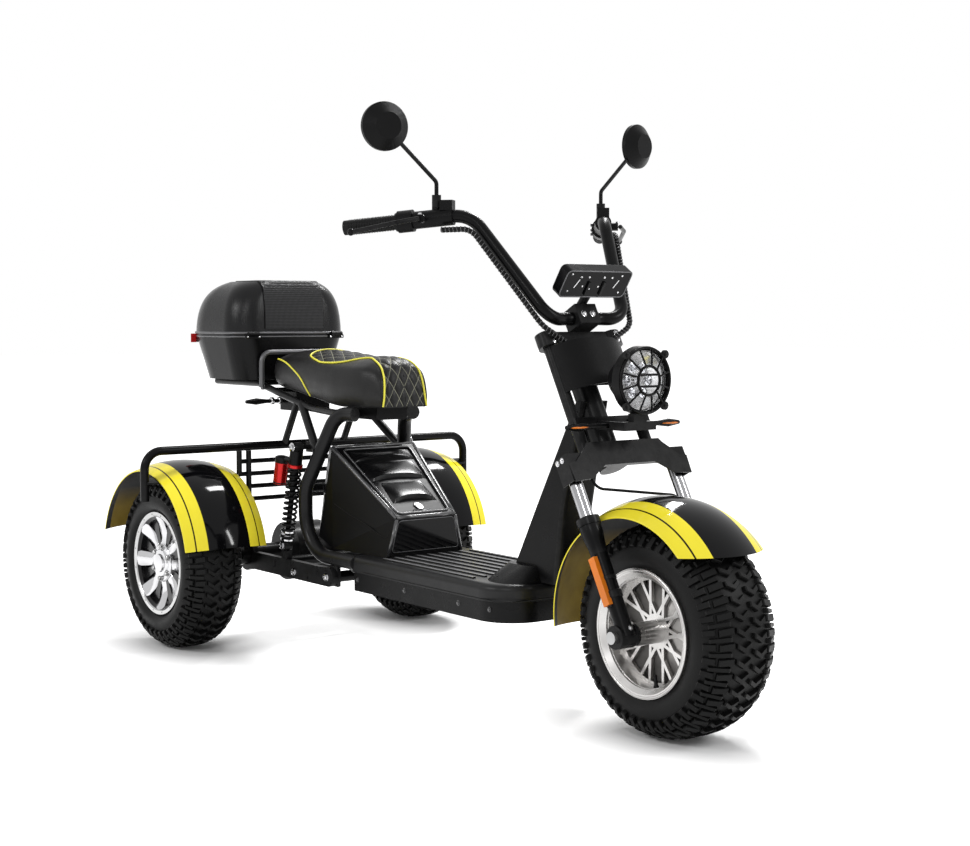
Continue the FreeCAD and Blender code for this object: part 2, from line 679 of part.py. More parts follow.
def front_axle():
    reach = n.leg_half_gap + n.axle_lug_width / 2
    shaft = rod(FRONT_AXLE - SIDE * reach, FRONT_AXLE + SIDE * reach, n.axle_radius)
    nut = n.axle_radius * 1.7
    ends = []
    for side in (-1, 1):
        start = FRONT_AXLE + SIDE * (side * reach)
        ends.append(rod(start, start + SIDE * (side * n.axle_radius * 1.4), nut))
    shape_part("front_axle", joined([shaft] + ends))


# Fork

def fork_parts():
    legs, uppers, sliders = [], [], []
    for side in (-1, 1):
        y = side * n.leg_half_gap
        legs.append(rod(fork(n.slider_top + n.fit_gap, y), fork(n.yoke_low - n.fit_gap, y),
                        n.stanchion_radius))
        y2 = side * n.upper_half_gap
        uppers.append(rod(fork(n.yoke_high + n.fit_gap, y2),
                          fork(n.clamp_low - n.fit_gap, y2), n.upper_tube_radius))
        tube = rod(fork(0, y), fork(n.slider_top, y), n.slider_radius)
        seal = rod(fork(n.slider_top - n.slider_seal_height, y), fork(n.slider_top, y),
                   n.leg_half_gap - n.fender_half_width - n.fit_gap)
        half = n.axle_lug_width / 2
        lug = rod(FRONT_AXLE + SIDE * (y - half), FRONT_AXLE + SIDE * (y + half),
                  n.axle_lug_radius)
        hole = rod(FRONT_AXLE + SIDE * (y - half * 2), FRONT_AXLE + SIDE * (y + half * 2),
                   n.axle_radius + n.bore_slack)
        sliders.append(joined([tube, seal, lug]).cut(hole))
    shape_part("fork_stanchions", Part.makeCompound(legs))
    shape_part("fork_upper_tubes", Part.makeCompound(uppers))
    shape_part("fork_sliders", Part.makeCompound(sliders))
    outer = n.leg_half_gap + n.slider_radius
    plate = fork_block(n.reflector_low, n.reflector_high, -outer - n.reflector_thick,
                       n.reflector_thick - outer, -n.reflector_wide, n.reflector_wide)
    leg = rod(fork(0, -n.leg_half_gap), fork(n.slider_top, -n.leg_half_gap),
              n.slider_radius + n.fit_gap)
    shape_part("fork_reflectors", pair(plate.cut(leg)))


# Half outline of the folded yoke front: share of the half width, share of the height
YOKE_SHARES = [
    (0.0, 1.0), (0.61, 1.0), (0.65, 0.9), (0.88, 0.52), (1.0, 0.49), (0.985, 0.0),
    (0.70, 0.04), (0.43, 0.37), (0.0, 0.37),
]


def fork_sheet(outline_spots, w0, w1):
    """A plate with this outline of (t, y) points, from w0 to w1 across the legs."""
    spots = outline_spots + outline_spots[:1]
    wire = Part.makePolygon([fork(t, y, w0) for t, y in spots])
    return Part.Face(wire).extrude(ACROSS * (w1 - w0))


def yoke():
    """Lower clamp: a thick plate, a folded front with an arch, and the steering stem."""
    front = n.yoke_depth / 2
    plate = fork_block(n.yoke_low, n.yoke_high, -n.yoke_half, n.yoke_half,
                       -n.stanchion_radius - n.fit_gap, front)
    boss = rod(fork(n.yoke_low, 0, -n.fork_offset), fork(n.yoke_high, 0, -n.fork_offset),
               n.head_radius)
    web = fork_block(n.yoke_low, n.yoke_high, -n.head_radius, n.head_radius,
                     -n.fork_offset, 0)
    tall = n.yoke_crest - n.yoke_foot
    half = [(n.yoke_foot + tall * high, n.yoke_half * wide) for wide, high in YOKE_SHARES]
    other = [(t, -y) for t, y in reversed(half) if y > 0]
    skirt = fork_sheet(half + other, front, front + n.sheet)
    sides = []
    for side in (-1, 1):
        outer = side * n.yoke_half * YOKE_SHARES[4][0]
        sides.append(fork_block(n.yoke_foot + n.sheet, n.yoke_low + n.sheet,
                                min(outer, outer - side * n.sheet),
                                max(outer, outer - side * n.sheet),
                                -n.stanchion_radius, front))
    stem = rod(fork(n.yoke_high, 0, -n.fork_offset), fork(n.clamp_high, 0, -n.fork_offset),
               n.stem_radius)
    shape_part("yoke", joined([plate, boss, web, skirt, stem] + sides))


def top_clamp():
    """A boss over each upper tube and one over the steering head, with a web between."""
    end = n.clamp_half - n.upper_half_gap
    y, front, rear = n.upper_half_gap, n.upper_tube_radius, -n.fork_offset - n.head_radius
    corners = [(y, front), (y, -end), (n.head_radius, rear), (-n.head_radius, rear),
               (-y, -end), (-y, front)]
    web = Part.Face(Part.makePolygon(
        [fork(n.clamp_low, side, w) for side, w in corners + corners[:1]]))
    plate = joined([web.extrude(LEG * (n.clamp_high - n.clamp_low))] + [
        rod(fork(n.clamp_low, side), fork(n.clamp_high, side), end) for side in (-y, y)])
    over = LEG * n.sheet
    hole = rod(fork(n.clamp_low, 0, -n.fork_offset) - over,
               fork(n.clamp_high, 0, -n.fork_offset) + over, n.stem_radius + n.bore_slack)
    shape_part("top_clamp", plate.cut(hole))


def fender(label, x, y, z, edge, crown, half, start, end):
    body = new_body(label)
    sketch = new_sketch(body, label + "_section", "YZ_Plane")
    rise = crown - edge
    radius = (float(half) ** 2 + float(rise) ** 2) / (2 * float(rise))
    text = "((%s * %s + %s * %s) / (2 * %s))" % (
        half.text, half.text, rise.text, rise.text, rise.text)
    outer = Size(radius, text)
    inner_edge = edge - s.sheet
    outline(sketch, [(half, inner_edge), (half, edge), (-half, edge), (-half, inner_edge)],
            {1: outer, 3: -outer})
    revolve(body, sketch, label + "_turned", end - start)
    place(body, x, y, z, SIDE, 90 - float(end))
    return body


def front_fender():
    """A crowned sheet round the wheel, its front end cut level."""
    x = n.wheelbase - n.fender_back
    z = n.tyre_radius + n.fender_up
    half = n.fender_half_width
    edge, crown = n.fender_edge_radius, n.fender_crown_radius
    def rim(radius, y):
        return vec(x + radius, y, z)
    wires = []
    for depth in (0, n.sheet):
        wires.append(Part.Arc(rim(edge - depth, -half), rim(crown - depth, 0),
                              rim(edge - depth, half)).toShape())
    ends = [Part.LineSegment(rim(edge, y), rim(edge - n.sheet, y)).toShape()
            for y in (-half, half)]
    face = Part.Face(Part.Wire(Part.__sortEdges__([wires[0], ends[1], wires[1], ends[0]])))
    sheet_shape = face.revolve(vec(x, 0, z), SIDE * -1, n.front_fender_rear_end)
    below = block(x, x + crown * 2, -half * 2, half * 2, z - crown, n.front_fender_front_end)
    shape_part("front_fender", sheet_shape.cut(below))


def rear_fenders():
    for label, side in (("rear_fender_right", -1), ("rear_fender_left", 1)):
        fender(label, -s.rear_fender_back, s.rear_fender_centre * side, s.tyre_radius,
               s.rear_fender_edge_radius, s.rear_fender_crown_radius,
               s.rear_fender_half_width, s.rear_fender_front_end, s.rear_fender_rear_end)


# Frame, deck and neck

def main_frame():
    """Two bent side tubes, rails under the deck, cross tubes and saddle struts."""
    r = n.frame_tube_radius
    half = n.frame_half_low
    line = [
        vec(n.seat_rail_front, -n.frame_half_front, n.seat_rail_height),
        vec(n.seat_rail_back, -n.frame_half_top, n.seat_rail_height),
        vec(n.bulge_back, -half, n.bulge_height),
        vec(n.bulge_back, -half, n.deck_rail_height),
        vec(n.deck_back - n.fit_gap, -half, n.deck_rail_height),
    ]
    side = bar(line, [r * 3.2, r * 6.5, r * 6], r)
    rail_z = n.deck_seam - n.rail_radius - n.fit_gap
    cross_x = n.deck_back - r * 1.6
    rail = rod(vec(cross_x, -n.rail_half, rail_z),
               vec(n.neck_front_low - n.deck_corner, -n.rail_half, rail_z), n.rail_radius)
    spine_z = n.case_floor - n.carrier_radius - n.fit_gap
    spine_x = n.seat_rail_back - n.deck_corner * 1.6
    strut = rod(vec(spine_x - n.carrier_radius * 5, -n.carrier_half,
                    n.seat_rail_height + r),
                vec(n.bulge_back + r * 2, -half + r, n.box_ridge_z - r * 1.5),
                n.hoop_radius)
    spine = bar([
        vec(n.seat_rail_back + r, -n.frame_half_top, n.seat_rail_height),
        vec(spine_x, -n.carrier_half, n.seat_rail_height + r * 0.4),
        vec(n.case_front * 2, -n.carrier_half, spine_z),
        vec(-n.carrier_back, -n.carrier_half, spine_z)],
        [r * 4, r * 4], n.carrier_radius)
    bracket_y = -n.arm_half + n.arm_width / 2 + n.fit_gap
    drop = n.arm_high - n.arm_low
    bracket = block(n.arm_front - r, n.arm_front + r, bracket_y, bracket_y + n.arm_width * 0.6,
                    n.arm_low, n.deck_rail_height)
    bracket = bracket.cut(rod(vec(n.arm_front, -n.arm_half, n.arm_high - drop / 2),
                              vec(n.arm_front, n.arm_half, n.arm_high - drop / 2),
                              drop * 0.3 + n.fit_gap))
    eye_x, eye_z = n.shock_top_x, n.shock_top_z
    plate_y = -half + r
    ear = block(eye_x - n.shock_eye_radius, n.bulge_back + r * 2, plate_y, plate_y + n.deck_wall,
                eye_z - n.shock_eye_radius, eye_z + n.shock_eye_radius)
    pin = rod(vec(eye_x, -n.shock_half - n.shock_eye_width * 0.6, eye_z),
              vec(eye_x, plate_y + n.deck_wall, eye_z), n.pin_radius)
    hoop_y = -n.carrier_half
    stay_top = vec((spine_x + n.hoop_x) / 2, hoop_y, n.seat_rail_height + r)
    stay = rod(stay_top, vec(n.hoop_x, hoop_y, n.hoop_height), n.carrier_radius)
    stay = stay.cut(rod(vec(n.hoop_x, -half, n.hoop_height), vec(n.hoop_x, half, n.hoop_height),
                        n.hoop_radius + n.fit_gap))
    shapes = [side, rail, strut, spine, bracket, ear, pin, stay]
    shapes += [other_side(shape) for shape in shapes]
    top = n.seat_rail_height
    tail_x = n.tail_front / 3
    tail_z = n.tail_high + n.fit_gap + n.tail_tube_radius
    shapes += [
        rod(vec(n.seat_rail_back, -n.frame_half_top, top),
            vec(n.seat_rail_back, n.frame_half_top, top), n.hoop_radius),
        rod(vec(cross_x, -half, n.deck_rail_height), vec(cross_x, -n.rail_half, rail_z),
            n.rail_radius),
        rod(vec(cross_x, half, n.deck_rail_height), vec(cross_x, n.rail_half, rail_z),
            n.rail_radius),
        rod(vec(cross_x, -n.rail_half, rail_z), vec(cross_x, n.rail_half, rail_z),
            n.rail_radius),
        rod(vec(n.bulge_back, -half, n.bulge_height),
            vec(n.bulge_back, half, n.bulge_height), n.hoop_radius),
        rod(vec(n.carrier_radius - n.carrier_back, -n.carrier_half, spine_z),
            vec(n.carrier_radius - n.carrier_back, n.carrier_half, spine_z),
            n.carrier_radius * 0.8),
        rod(vec(tail_x, -n.carrier_half, tail_z), vec(tail_x, n.carrier_half, tail_z),
            n.tail_tube_radius),
        rod(vec(n.case_front * 3, -n.carrier_half, spine_z),
            vec(n.case_front * 3, n.carrier_half, spine_z), n.carrier_radius * 0.8),
    ]
    shape_part("main_frame", joined(shapes))


def plan(x0, x1, half, z, corner):
    """A flat outline with a square back and round front corners."""
    c = corner * (1 - sqrt(0.5))
    return Part.Wire([
        Part.LineSegment(vec(x0, half, z), vec(x0, -half, z)).toShape(),
        Part.LineSegment(vec(x0, -half, z), vec(x1 - corner, -half, z)).toShape(),
        Part.Arc(vec(x1 - corner, -half, z), vec(x1 - c, c - half, z),
                 vec(x1, corner - half, z)).toShape(),
        Part.LineSegment(vec(x1, corner - half, z), vec(x1, half - corner, z)).toShape(),
        Part.Arc(vec(x1, half - corner, z), vec(x1 - c, half - c, z),
                 vec(x1 - corner, half, z)).toShape(),
        Part.LineSegment(vec(x1 - corner, half, z), vec(x0, half, z)).toShape(),
    ])


def slab(wire, height):
    return Part.Face(wire).extrude(UP * height)


def deck():
    wall = n.deck_wall
    corner = n.deck_corner
    pan = slab(plan(n.deck_back, n.deck_front, n.deck_half - wall, n.deck_bottom, corner),
               n.deck_seam - n.deck_bottom - n.fit_gap)
    hollow = slab(plan(n.deck_back + wall, n.deck_front - wall, n.deck_half - wall * 2,
                       n.deck_bottom + wall, corner - wall), n.deck_seam)
    rail_z = n.deck_seam - n.rail_radius - n.fit_gap
    for y in (-n.rail_half, n.rail_half):
        hollow = hollow.fuse(rod(vec(n.deck_back - wall, y, rail_z),
                                 vec(n.deck_back + corner, y, rail_z),
                                 n.rail_radius + n.fit_gap))
    shape_part("deck_pan", pan.cut(hollow))
    board = slab(plan(n.deck_back, n.deck_front, n.deck_half, n.deck_seam, corner),
                 n.deck_top - n.deck_seam)
    rim = [e for e in board.Edges if min(v.Z for v in e.Vertexes) > n.deck_top - wall
           and max(v.X for v in e.Vertexes) > n.deck_back + wall]
    board = board.makeFillet(n.deck_round, rim)
    under = slab(plan(n.deck_back + wall, n.deck_front - n.deck_round, n.deck_half - n.deck_round,
                      n.deck_seam - wall, corner - wall), n.deck_top - n.deck_seam)
    board = board.cut(under)
    ribs = []
    span = n.deck_half - n.deck_wall * 8
    for i in range(int(n.deck_ribs)):
        y = -span + 2 * span * i / (n.deck_ribs - 1)
        ribs.append(block(n.box_front_top_x + wall * 2, n.neck_back_low - n.collar_rim - wall * 2,
                          y - n.deck_rib_width / 2, y + n.deck_rib_width / 2,
                          n.deck_top - wall / 2, n.deck_top + n.deck_rib))
    shape_part("deck_board", joined([board] + ribs))


def neck_beam():
    """Tapered box beam from the deck up to the steering head."""
    def ring(back, front, half, z):
        return rounded_loop(back, front, half, z, n.collar_rim * 0.75)
    top_half = n.neck_half_top
    return Part.makeLoft([
        ring(n.neck_back_low, n.neck_front_low, n.neck_half_low, n.deck_top + n.fit_gap),
        ring(n.neck_waist_back, n.neck_waist_front, (n.neck_half_low + top_half) / 2,
             n.neck_waist),
        ring(n.neck_back_top, n.neck_front_top, top_half, n.neck_top)], True, True)


def neck():
    """The beam with the steering head tube at its top."""
    beam = neck_beam()
    axis_low = fork(n.head_low, 0, -n.fork_offset)
    axis_high = fork(n.head_high, 0, -n.fork_offset)
    head = rod(axis_low, axis_high, n.head_radius)
    bore = rod(axis_low - LEG * n.overcut, axis_high + LEG * n.overcut,
               n.stem_radius + n.bore_slack)
    trim = rod(fork(n.yoke_low, 0, -n.fork_offset), axis_low, n.head_radius * 1.6)
    shape_part("neck", joined([beam.cut(trim), head]).cut(bore))


def collar():
    """Moulded foot round the bottom of the neck."""
    rim = n.collar_rim
    low = n.deck_top + n.fit_gap
    foot = Part.makeLoft([
        rounded_loop(n.neck_back_low - rim, n.deck_front - rim / 2, n.deck_half - rim * 2,
                     low, n.deck_corner * 0.7),
        rounded_loop(n.neck_back_low, n.deck_front - rim * 1.5, n.neck_half_low + rim,
                     low + n.collar_height, rim * 2)], True, True)
    shape_part("neck_collar", foot.cut(neck_beam()))


# Battery box with its sloping lid

def box_corners(inset):
    return {
        "front_low": (n.box_front_low_x - inset, n.box_front_low_half - inset,
                      n.deck_top + n.fit_gap + inset),
        "front_top": (n.box_front_top_x - inset, n.box_front_top_half - inset,
                      n.box_front_top_z - inset / 2),
        "ridge": (n.box_ridge_x - inset / 2, n.box_ridge_half - inset, n.box_ridge_z - inset),
        "back_top": (n.box_back_top_x + inset, n.box_back_top_half - inset,
                     n.box_back_top_z - inset),
        "back_low": (n.box_back_low_x + inset, n.box_low_half - inset,
                     n.box_back_low_z + inset / 2),
        "low": (n.box_low_x, n.box_low_half - inset, n.deck_top + n.fit_gap + inset),
    }


def faceted(spots):
    """A solid with one flat face for each ring of points across the middle plane."""
    def face(points):
        return Part.Face(Part.makePolygon(points + points[:1]))
    def right(name):
        x, half, z = spots[name]
        return vec(x, -half, z)
    def left(name):
        x, half, z = spots[name]
        return vec(x, half, z)
    belt = ["front_low", "front_top", "ridge", "back_top", "back_low", "low"]
    faces = []
    for i, name in enumerate(belt):
        other = belt[(i + 1) % len(belt)]
        faces.append(face([right(name), right(other), left(other), left(name)]))
    for side in (right, left):
        for trio in (("front_low", "front_top", "low"), ("front_top", "ridge", "low"),
                     ("ridge", "back_low", "low"), ("ridge", "back_top", "back_low")):
            faces.append(face([side(name) for name in trio]))
    shell = Part.makeShell(faces)
    solid = Part.makeSolid(shell)
    if solid.Volume < 0:
        solid.reverse()
    return solid


SLOPE = vec(n.box_front_top_x - n.box_ridge_x, 0, n.box_front_top_z - n.box_ridge_z)
SLOPE_UP = FreeCAD.Vector(-SLOPE.z, 0, SLOPE.x).normalize()
SLOPE_ANGLE = degrees(atan2(-SLOPE.z, SLOPE.x))


def above_slope(depth):
    """Everything over a plane that lies this deep under the sloping face."""
    reach = SLOPE.Length
    start = vec(n.box_ridge_x, 0, n.box_ridge_z) - SLOPE_UP * depth
    along = vec(SLOPE.x, 0, SLOPE.z).normalize()
    corner = start - along * reach + SIDE * -reach
    shape = Part.makeBox(reach * 3, reach * 2, reach)
    shape.Placement = FreeCAD.Placement(corner, FreeCAD.Rotation(SIDE, SLOPE_ANGLE))
    return shape


def battery_box():
    outer = faceted(box_corners(0))
    inner = faceted(box_corners(n.box_wall))
    body = outer.cut(above_slope(n.lid_thick + n.fit_gap))
    shell = body.cut(inner.cut(above_slope(n.lid_thick + n.box_wall)))
    along = vec(SLOPE.x, 0, SLOPE.z).normalize()
    rim = n.lid_rim
    low_half = n.box_front_top_half - rim
    high_half = n.box_ridge_half - rim * 1.6
    a = vec(n.box_front_top_x, 0, n.box_front_top_z) - along * (rim * 1.2)
    b = vec(n.box_ridge_x, 0, n.box_ridge_z) + along * rim
    mouth = Part.Face(Part.makePolygon([
        a - SIDE * low_half, a + SIDE * low_half, b + SIDE * high_half, b - SIDE * high_half,
        a - SIDE * low_half]))
    recess = mouth.extrude(SLOPE_UP * -n.lid_recess)
    mouth = mouth.extrude(SLOPE_UP * -(n.lid_thick + n.box_wall * 4))
    hinge = vec(n.box_ridge_x - n.lid_thick / sin(radians(SLOPE_ANGLE)), 0, n.box_ridge_z)
    def knuckle(low, high, gap):
        return rod(hinge + SIDE * (low - gap), hinge + SIDE * (high + gap),
                   n.knuckle_radius + gap)
    middle = n.knuckle_middle
    lid_knuckles = [(middle, n.knuckle_half), (-n.knuckle_half, -middle)]
    shell = shell.cut(mouth)
    for low, high in lid_knuckles:
        shell = shell.cut(knuckle(low, high, n.fit_gap))
    box_half = middle - n.fit_gap * 2
    shape_part("battery_box", joined([shell, knuckle(-box_half, box_half, 0)]))
    lid = outer.common(above_slope(n.lid_thick)).cut(recess)
    lid = lid.cut(knuckle(-box_half, box_half, n.fit_gap))
    shape_part("battery_lid", joined([lid] + [knuckle(low, high, 0)
                                              for low, high in lid_knuckles]))
    key = a - along * (rim * 0.9) + SLOPE_UP * (n.fit_gap - n.lid_recess)
    shape_part("lid_lock", rod(key, key + SLOPE_UP * n.lock_height, n.lock_radius))
    x = n.box_low_x + n.box_wall * 2
    z = n.deck_top + n.box_wall + n.fit_gap * 2
    shape_part("battery", block(x, x + n.battery_length, -n.battery_width / 2,
                                n.battery_width / 2, z, z + n.battery_height))


# Seat

# Along the seat: place, bottom and top as shares of its length and height, width share
SEAT_SHARES = [
    (0.0, 0.46, 0.78, 0.60), (0.041, 0.32, 0.93, 0.80), (0.224, 0.23, 1.0, 0.90),
    (0.449, 0.12, 0.98, 0.96), (0.685, 0.0, 0.92, 0.96), (0.874, 0.0, 0.915, 0.85),
    (0.945, 0.0, 0.82, 0.72), (0.983, 0.0, 0.62, 0.63), (1.0, 0.0, 0.36, 0.585),
]


def seat():
    rings = []
    tall = n.seat_top - n.seat_low
    for along, low, high, wide in SEAT_SHARES:
        x = n.seat_back + (n.seat_front - n.seat_back) * along
        z0 = n.seat_low + tall * low
        z1 = n.seat_low + tall * high
        half = n.seat_half * wide
        mid = z0 + (z1 - z0) * 0.45
        under = half * 0.86
        crown = half * 0.72
        edge = z1 - (z1 - z0) * 0.14
        rings.append(Part.Wire([
            Part.LineSegment(vec(x, -under, z0), vec(x, under, z0)).toShape(),
            Part.Arc(vec(x, under, z0), vec(x, half, mid), vec(x, crown, edge)).toShape(),
            Part.Arc(vec(x, crown, edge), vec(x, 0, z1), vec(x, -crown, edge)).toShape(),
            Part.Arc(vec(x, -crown, edge), vec(x, -half, mid), vec(x, -under, z0)).toShape()]))
    below = block(n.seat_back * 2, n.seat_front, -n.seat_half * 2, n.seat_half * 2,
                  n.seat_pan_low, n.seat_low)
    shape_part("seat", Part.makeLoft(rings, True, False).cut(below))
    base = block(n.seat_pan_back, n.seat_pan_front, -n.seat_pan_half, n.seat_pan_half,
                 n.seat_pan_low, n.seat_low - n.fit_gap)
    keepout = rod(vec(n.seat_rail_back, -n.frame_half_top, n.seat_rail_height),
                  vec(n.seat_rail_back, n.frame_half_top, n.seat_rail_height),
                  n.hoop_radius + n.fit_gap)
    shape_part("seat_base", base.cut(keepout))


# Rear suspension and axle

def rear_axle():
    z = n.tyre_radius
    tube = rod(vec(0, -n.axle_tube_half, z), vec(0, n.axle_tube_half, z), n.axle_tube_radius)
    shaft_half = n.rear_half_track + n.rear_disc_plane + n.rear_cap_height
    shaft = rod(vec(0, -shaft_half, z), vec(0, shaft_half, z), n.rear_axle_radius)
    shape_part("rear_axle", joined([tube, shaft]))
    core = rod(vec(0, -n.axle_tube_radius * 2, z), vec(0, n.axle_tube_radius * 2, z),
               n.axle_tube_radius * 3)
    motor = rod(vec(0, n.axle_tube_radius * 2, z), vec(0, n.axle_tube_half * 0.72, z),
                n.axle_tube_radius * 2.4)
    grow = rod(vec(0, -n.axle_tube_half, z), vec(0, n.axle_tube_half, z),
               n.axle_tube_radius + n.fit_gap)
    shape_part("motor_housing", joined([core, motor]).cut(grow))


def swing_arm():
    arms = []
    z = n.tyre_radius
    y0 = -n.arm_half - n.arm_width / 2
    y1 = y0 + n.arm_width
    plate = block(n.arm_back, n.arm_front, y0, y1, n.arm_low, n.arm_high)
    drop = n.arm_high - n.arm_low
    nose = rod(vec(n.arm_front, y0, n.arm_high - drop / 2),
               vec(n.arm_front, y1, n.arm_high - drop / 2), drop / 2)
    hole = rod(vec(0, -n.axle_tube_half, z), vec(0, n.axle_tube_half, z),
               n.axle_tube_radius + n.fit_gap)
    ear_x = n.shock_low_x
    eye_z = n.shock_low_z
    ear = block(ear_x - n.shock_eye_radius, ear_x + n.shock_eye_radius, y0, y1, n.arm_high,
                eye_z - n.shock_eye_radius - n.fit_gap)
    clip = rod(vec(0, y0, z), vec(0, y1, z), n.axle_tube_radius * 1.6)
    arm = joined([plate, nose, ear, clip])
    tie = rod(vec(n.arm_back + drop * 3.2, -n.arm_half, n.arm_high - drop / 2),
              vec(n.arm_back + drop * 3.2, n.arm_half, n.arm_high - drop / 2), drop * 0.3)
    pivot = rod(vec(n.arm_front, -n.arm_half, n.arm_high - drop / 2),
                vec(n.arm_front, n.arm_half, n.arm_high - drop / 2), drop * 0.3)
    shape = joined([arm, other_side(arm), tie, pivot]).cut(hole)
    shape_part("swing_arm", shape)


def reservoir(low, along, total, gap):
    spot = low + along * (total * 0.62) - vec(n.reservoir_back, 0, 0)
    return rod(spot - along * gap, spot + along * (n.reservoir_length + gap),
               n.reservoir_radius + gap)


def shocks():
    """Coil-over dampers: eyes, rod and body in one node, springs and reservoirs apart."""
    top = vec(n.shock_top_x, -n.shock_half, n.shock_top_z)
    low = vec(n.shock_low_x, -n.shock_half, n.shock_low_z)
    along = (top - low).normalize()
    total = (top - low).Length
    eye = n.shock_eye_radius
    half = n.shock_eye_width / 2
    seat_low = low + along * (eye * 2.2)
    seat_high = low + along * (total * 0.79)
    shapes = [
        rod(low - SIDE * half, low + SIDE * half, eye),
        rod(top - SIDE * half, top + SIDE * half, eye),
        rod(low, top, n.shock_rod_radius),
        rod(low + along * (total * 0.58), seat_high, n.shock_body_radius),
        rod(seat_high, top - along * eye * 0.6, n.shock_cap_radius),
        rod(seat_low - along * n.spring_cup, seat_low, n.spring_radius + n.spring_wire),
        rod(seat_high, seat_high + along * n.spring_cup, n.spring_radius + n.spring_wire),
    ]
    bridge = low + along * (total * 0.86)
    shapes.append(rod(bridge, bridge - FORWARD * (n.reservoir_back - n.reservoir_radius),
                      n.shock_rod_radius))
    can = reservoir(low, along, total, n.fit_gap)
    hole = rod(top - SIDE * eye * 2, top + SIDE * eye * 2, n.pin_radius + n.fit_gap)
    shape_part("shock_dampers", pair(joined(shapes).cut(can).cut(hole)))
    gap = n.fit_gap
    length = (seat_high - seat_low).Length - 2 * n.spring_wire - 2 * gap
    pitch = length / n.spring_turns
    helix = Part.makeHelix(pitch, length, n.spring_radius)
    wire = Part.Wire([Part.makeCircle(n.spring_wire, vec(n.spring_radius, 0, 0), SIDE)])
    coil = Part.Wire(helix.Edges).makePipeShell([wire], True, True)
    turn = FreeCAD.Rotation(UP, along)
    coil.Placement = FreeCAD.Placement(seat_low + along * (n.spring_wire + gap), turn)
    shape_part("shock_springs", pair(coil))
    shape_part("shock_reservoirs", pair(reservoir(low, along, total, 0)))


# Hoop over the rear wheels and the slats under it

def rear_hoop():
    x, half, z = n.hoop_x, n.hoop_half, n.hoop_height
    foot = n.hoop_foot
    hoop = bar([vec(x, -half, foot), vec(x, -half, z), vec(x, half, z), vec(x, half, foot)],
               [n.hoop_bend, n.hoop_bend], n.hoop_radius)
    ring_radius = n.rear_fender_edge_radius - n.sheet - n.fit_gap
    outer_edge = n.rear_fender_centre + n.rear_fender_half_width
    tabs = []
    for side in (-1, 1):
        mid = vec(-n.rear_fender_back, side * outer_edge, n.tyre_radius)
        reach = SIDE * (side * (half - outer_edge))
        band = rod(mid - reach * 0.5, mid + reach, ring_radius)
        band = band.cut(rod(mid - reach, mid + reach * 2, ring_radius - n.deck_wall))
        tab_y = sorted((side * (outer_edge - n.hoop_radius), side * half))
        tabs.append(band.common(block(x - n.hoop_radius * 1.3, x + n.hoop_radius * 1.3,
                                      tab_y[0], tab_y[1], foot, z)))
    shape_part("rear_hoop", joined([hoop] + tabs))
    slats = []
    for i in range(int(n.slat_count)):
        level = n.slat_low + n.slat_pitch * i
        wide = n.slat_half if i < n.slat_count / 2 else n.slat_half_high
        slats.append(rod(vec(x, -wide, level), vec(x, wide, level), n.slat_radius))
    top = z - n.hoop_radius - n.fit_gap
    for y in (-n.slat_half, -n.slat_half / 3, n.slat_half / 3, n.slat_half):
        slats.append(rod(vec(x, y, n.slat_low - n.slat_radius * 2), vec(x, y, top),
                         n.slat_radius * 1.2))
    for y in (-n.slat_half_high, n.slat_half_high):
        slats.append(rod(vec(x, y, n.slat_low + n.slat_pitch * n.slat_count / 2),
                         vec(x, y, top), n.slat_radius * 1.2))
    shape_part("rear_slats", joined(slats))


# Top case

# Big round corners at the back of the case, as a share of its half width there
CASE_TAIL_SHARE = 0.85


def case_loop(inset, z, wall=0.0, lean=1.0):
    front = n.case_front - inset * 0.4 - wall
    back = -n.case_back + inset * lean + wall
    half = n.case_half - inset - wall
    return rounded_loop(back, front, half, z, n.case_corner - wall, half * CASE_TAIL_SHARE)


# Sides of the domed lid: share of its height, share of its inset; the back leans more
CASE_LEAN_SHARE = 2.0
DOME_SHARES = [(0.0, 0.0), (0.25, 0.03), (0.5, 0.12), (0.72, 0.3), (0.9, 0.62), (1.0, 1.0)]


def top_case():
    wall = n.case_wall
    gap = n.fit_gap
    base = Part.makeLoft([case_loop(n.case_floor_inset, n.case_floor),
                          case_loop(0, n.case_seam - gap)], True, True)
    hollow = Part.makeLoft([case_loop(n.case_floor_inset, n.case_floor + wall, wall),
                            case_loop(0, n.case_seam + wall, wall)], True, True)
    shape_part("case_base", base.cut(hollow))
    tall = n.case_top - n.case_seam
    def dome(grow, drop):
        return Part.makeLoft([
            case_loop(n.case_top_inset * inward, n.case_seam + tall * share - drop, -grow,
                      CASE_LEAN_SHARE)
            for share, inward in DOME_SHARES], True, False)
    rise = n.case_panel_rise
    panel = dome(rise, -rise).common(block(
        -n.case_panel_back, rise, -n.case_panel_half, n.case_panel_half,
        n.case_seam + n.case_panel_foot, n.case_top + rise * 2))
    lid = joined([dome(0, 0), panel]).cut(dome(-wall, wall))
    cut = block(-n.case_back * 2, n.case_back, -n.case_half * 2, n.case_half * 2,
                n.case_seam - wall * 4, n.case_seam)
    shape_part("case_lid", lid.cut(cut))
    half = n.hinge_half
    x = n.case_front + n.hinge_radius + gap
    leaves = []
    for side in (-1, 1):
        y = side * half
        leaves.append(rod(vec(x, y - n.hinge_length / 2, n.case_seam),
                          vec(x, y + n.hinge_length / 2, n.case_seam), n.hinge_radius))
    shape_part("case_hinges", Part.makeCompound(leaves))
    low = n.case_seam - n.reflector_height - gap
    band = slab(case_loop(-gap - n.reflector_depth, low), n.reflector_height)
    band = band.cut(slab(case_loop(-gap, low), n.reflector_height))
    reach = n.case_back + n.reflector_depth * 2
    shape_part("case_reflector", band.common(block(
        -reach, -n.case_back + n.reflector_wrap, -reach, reach,
        low - n.reflector_height, n.case_seam)))


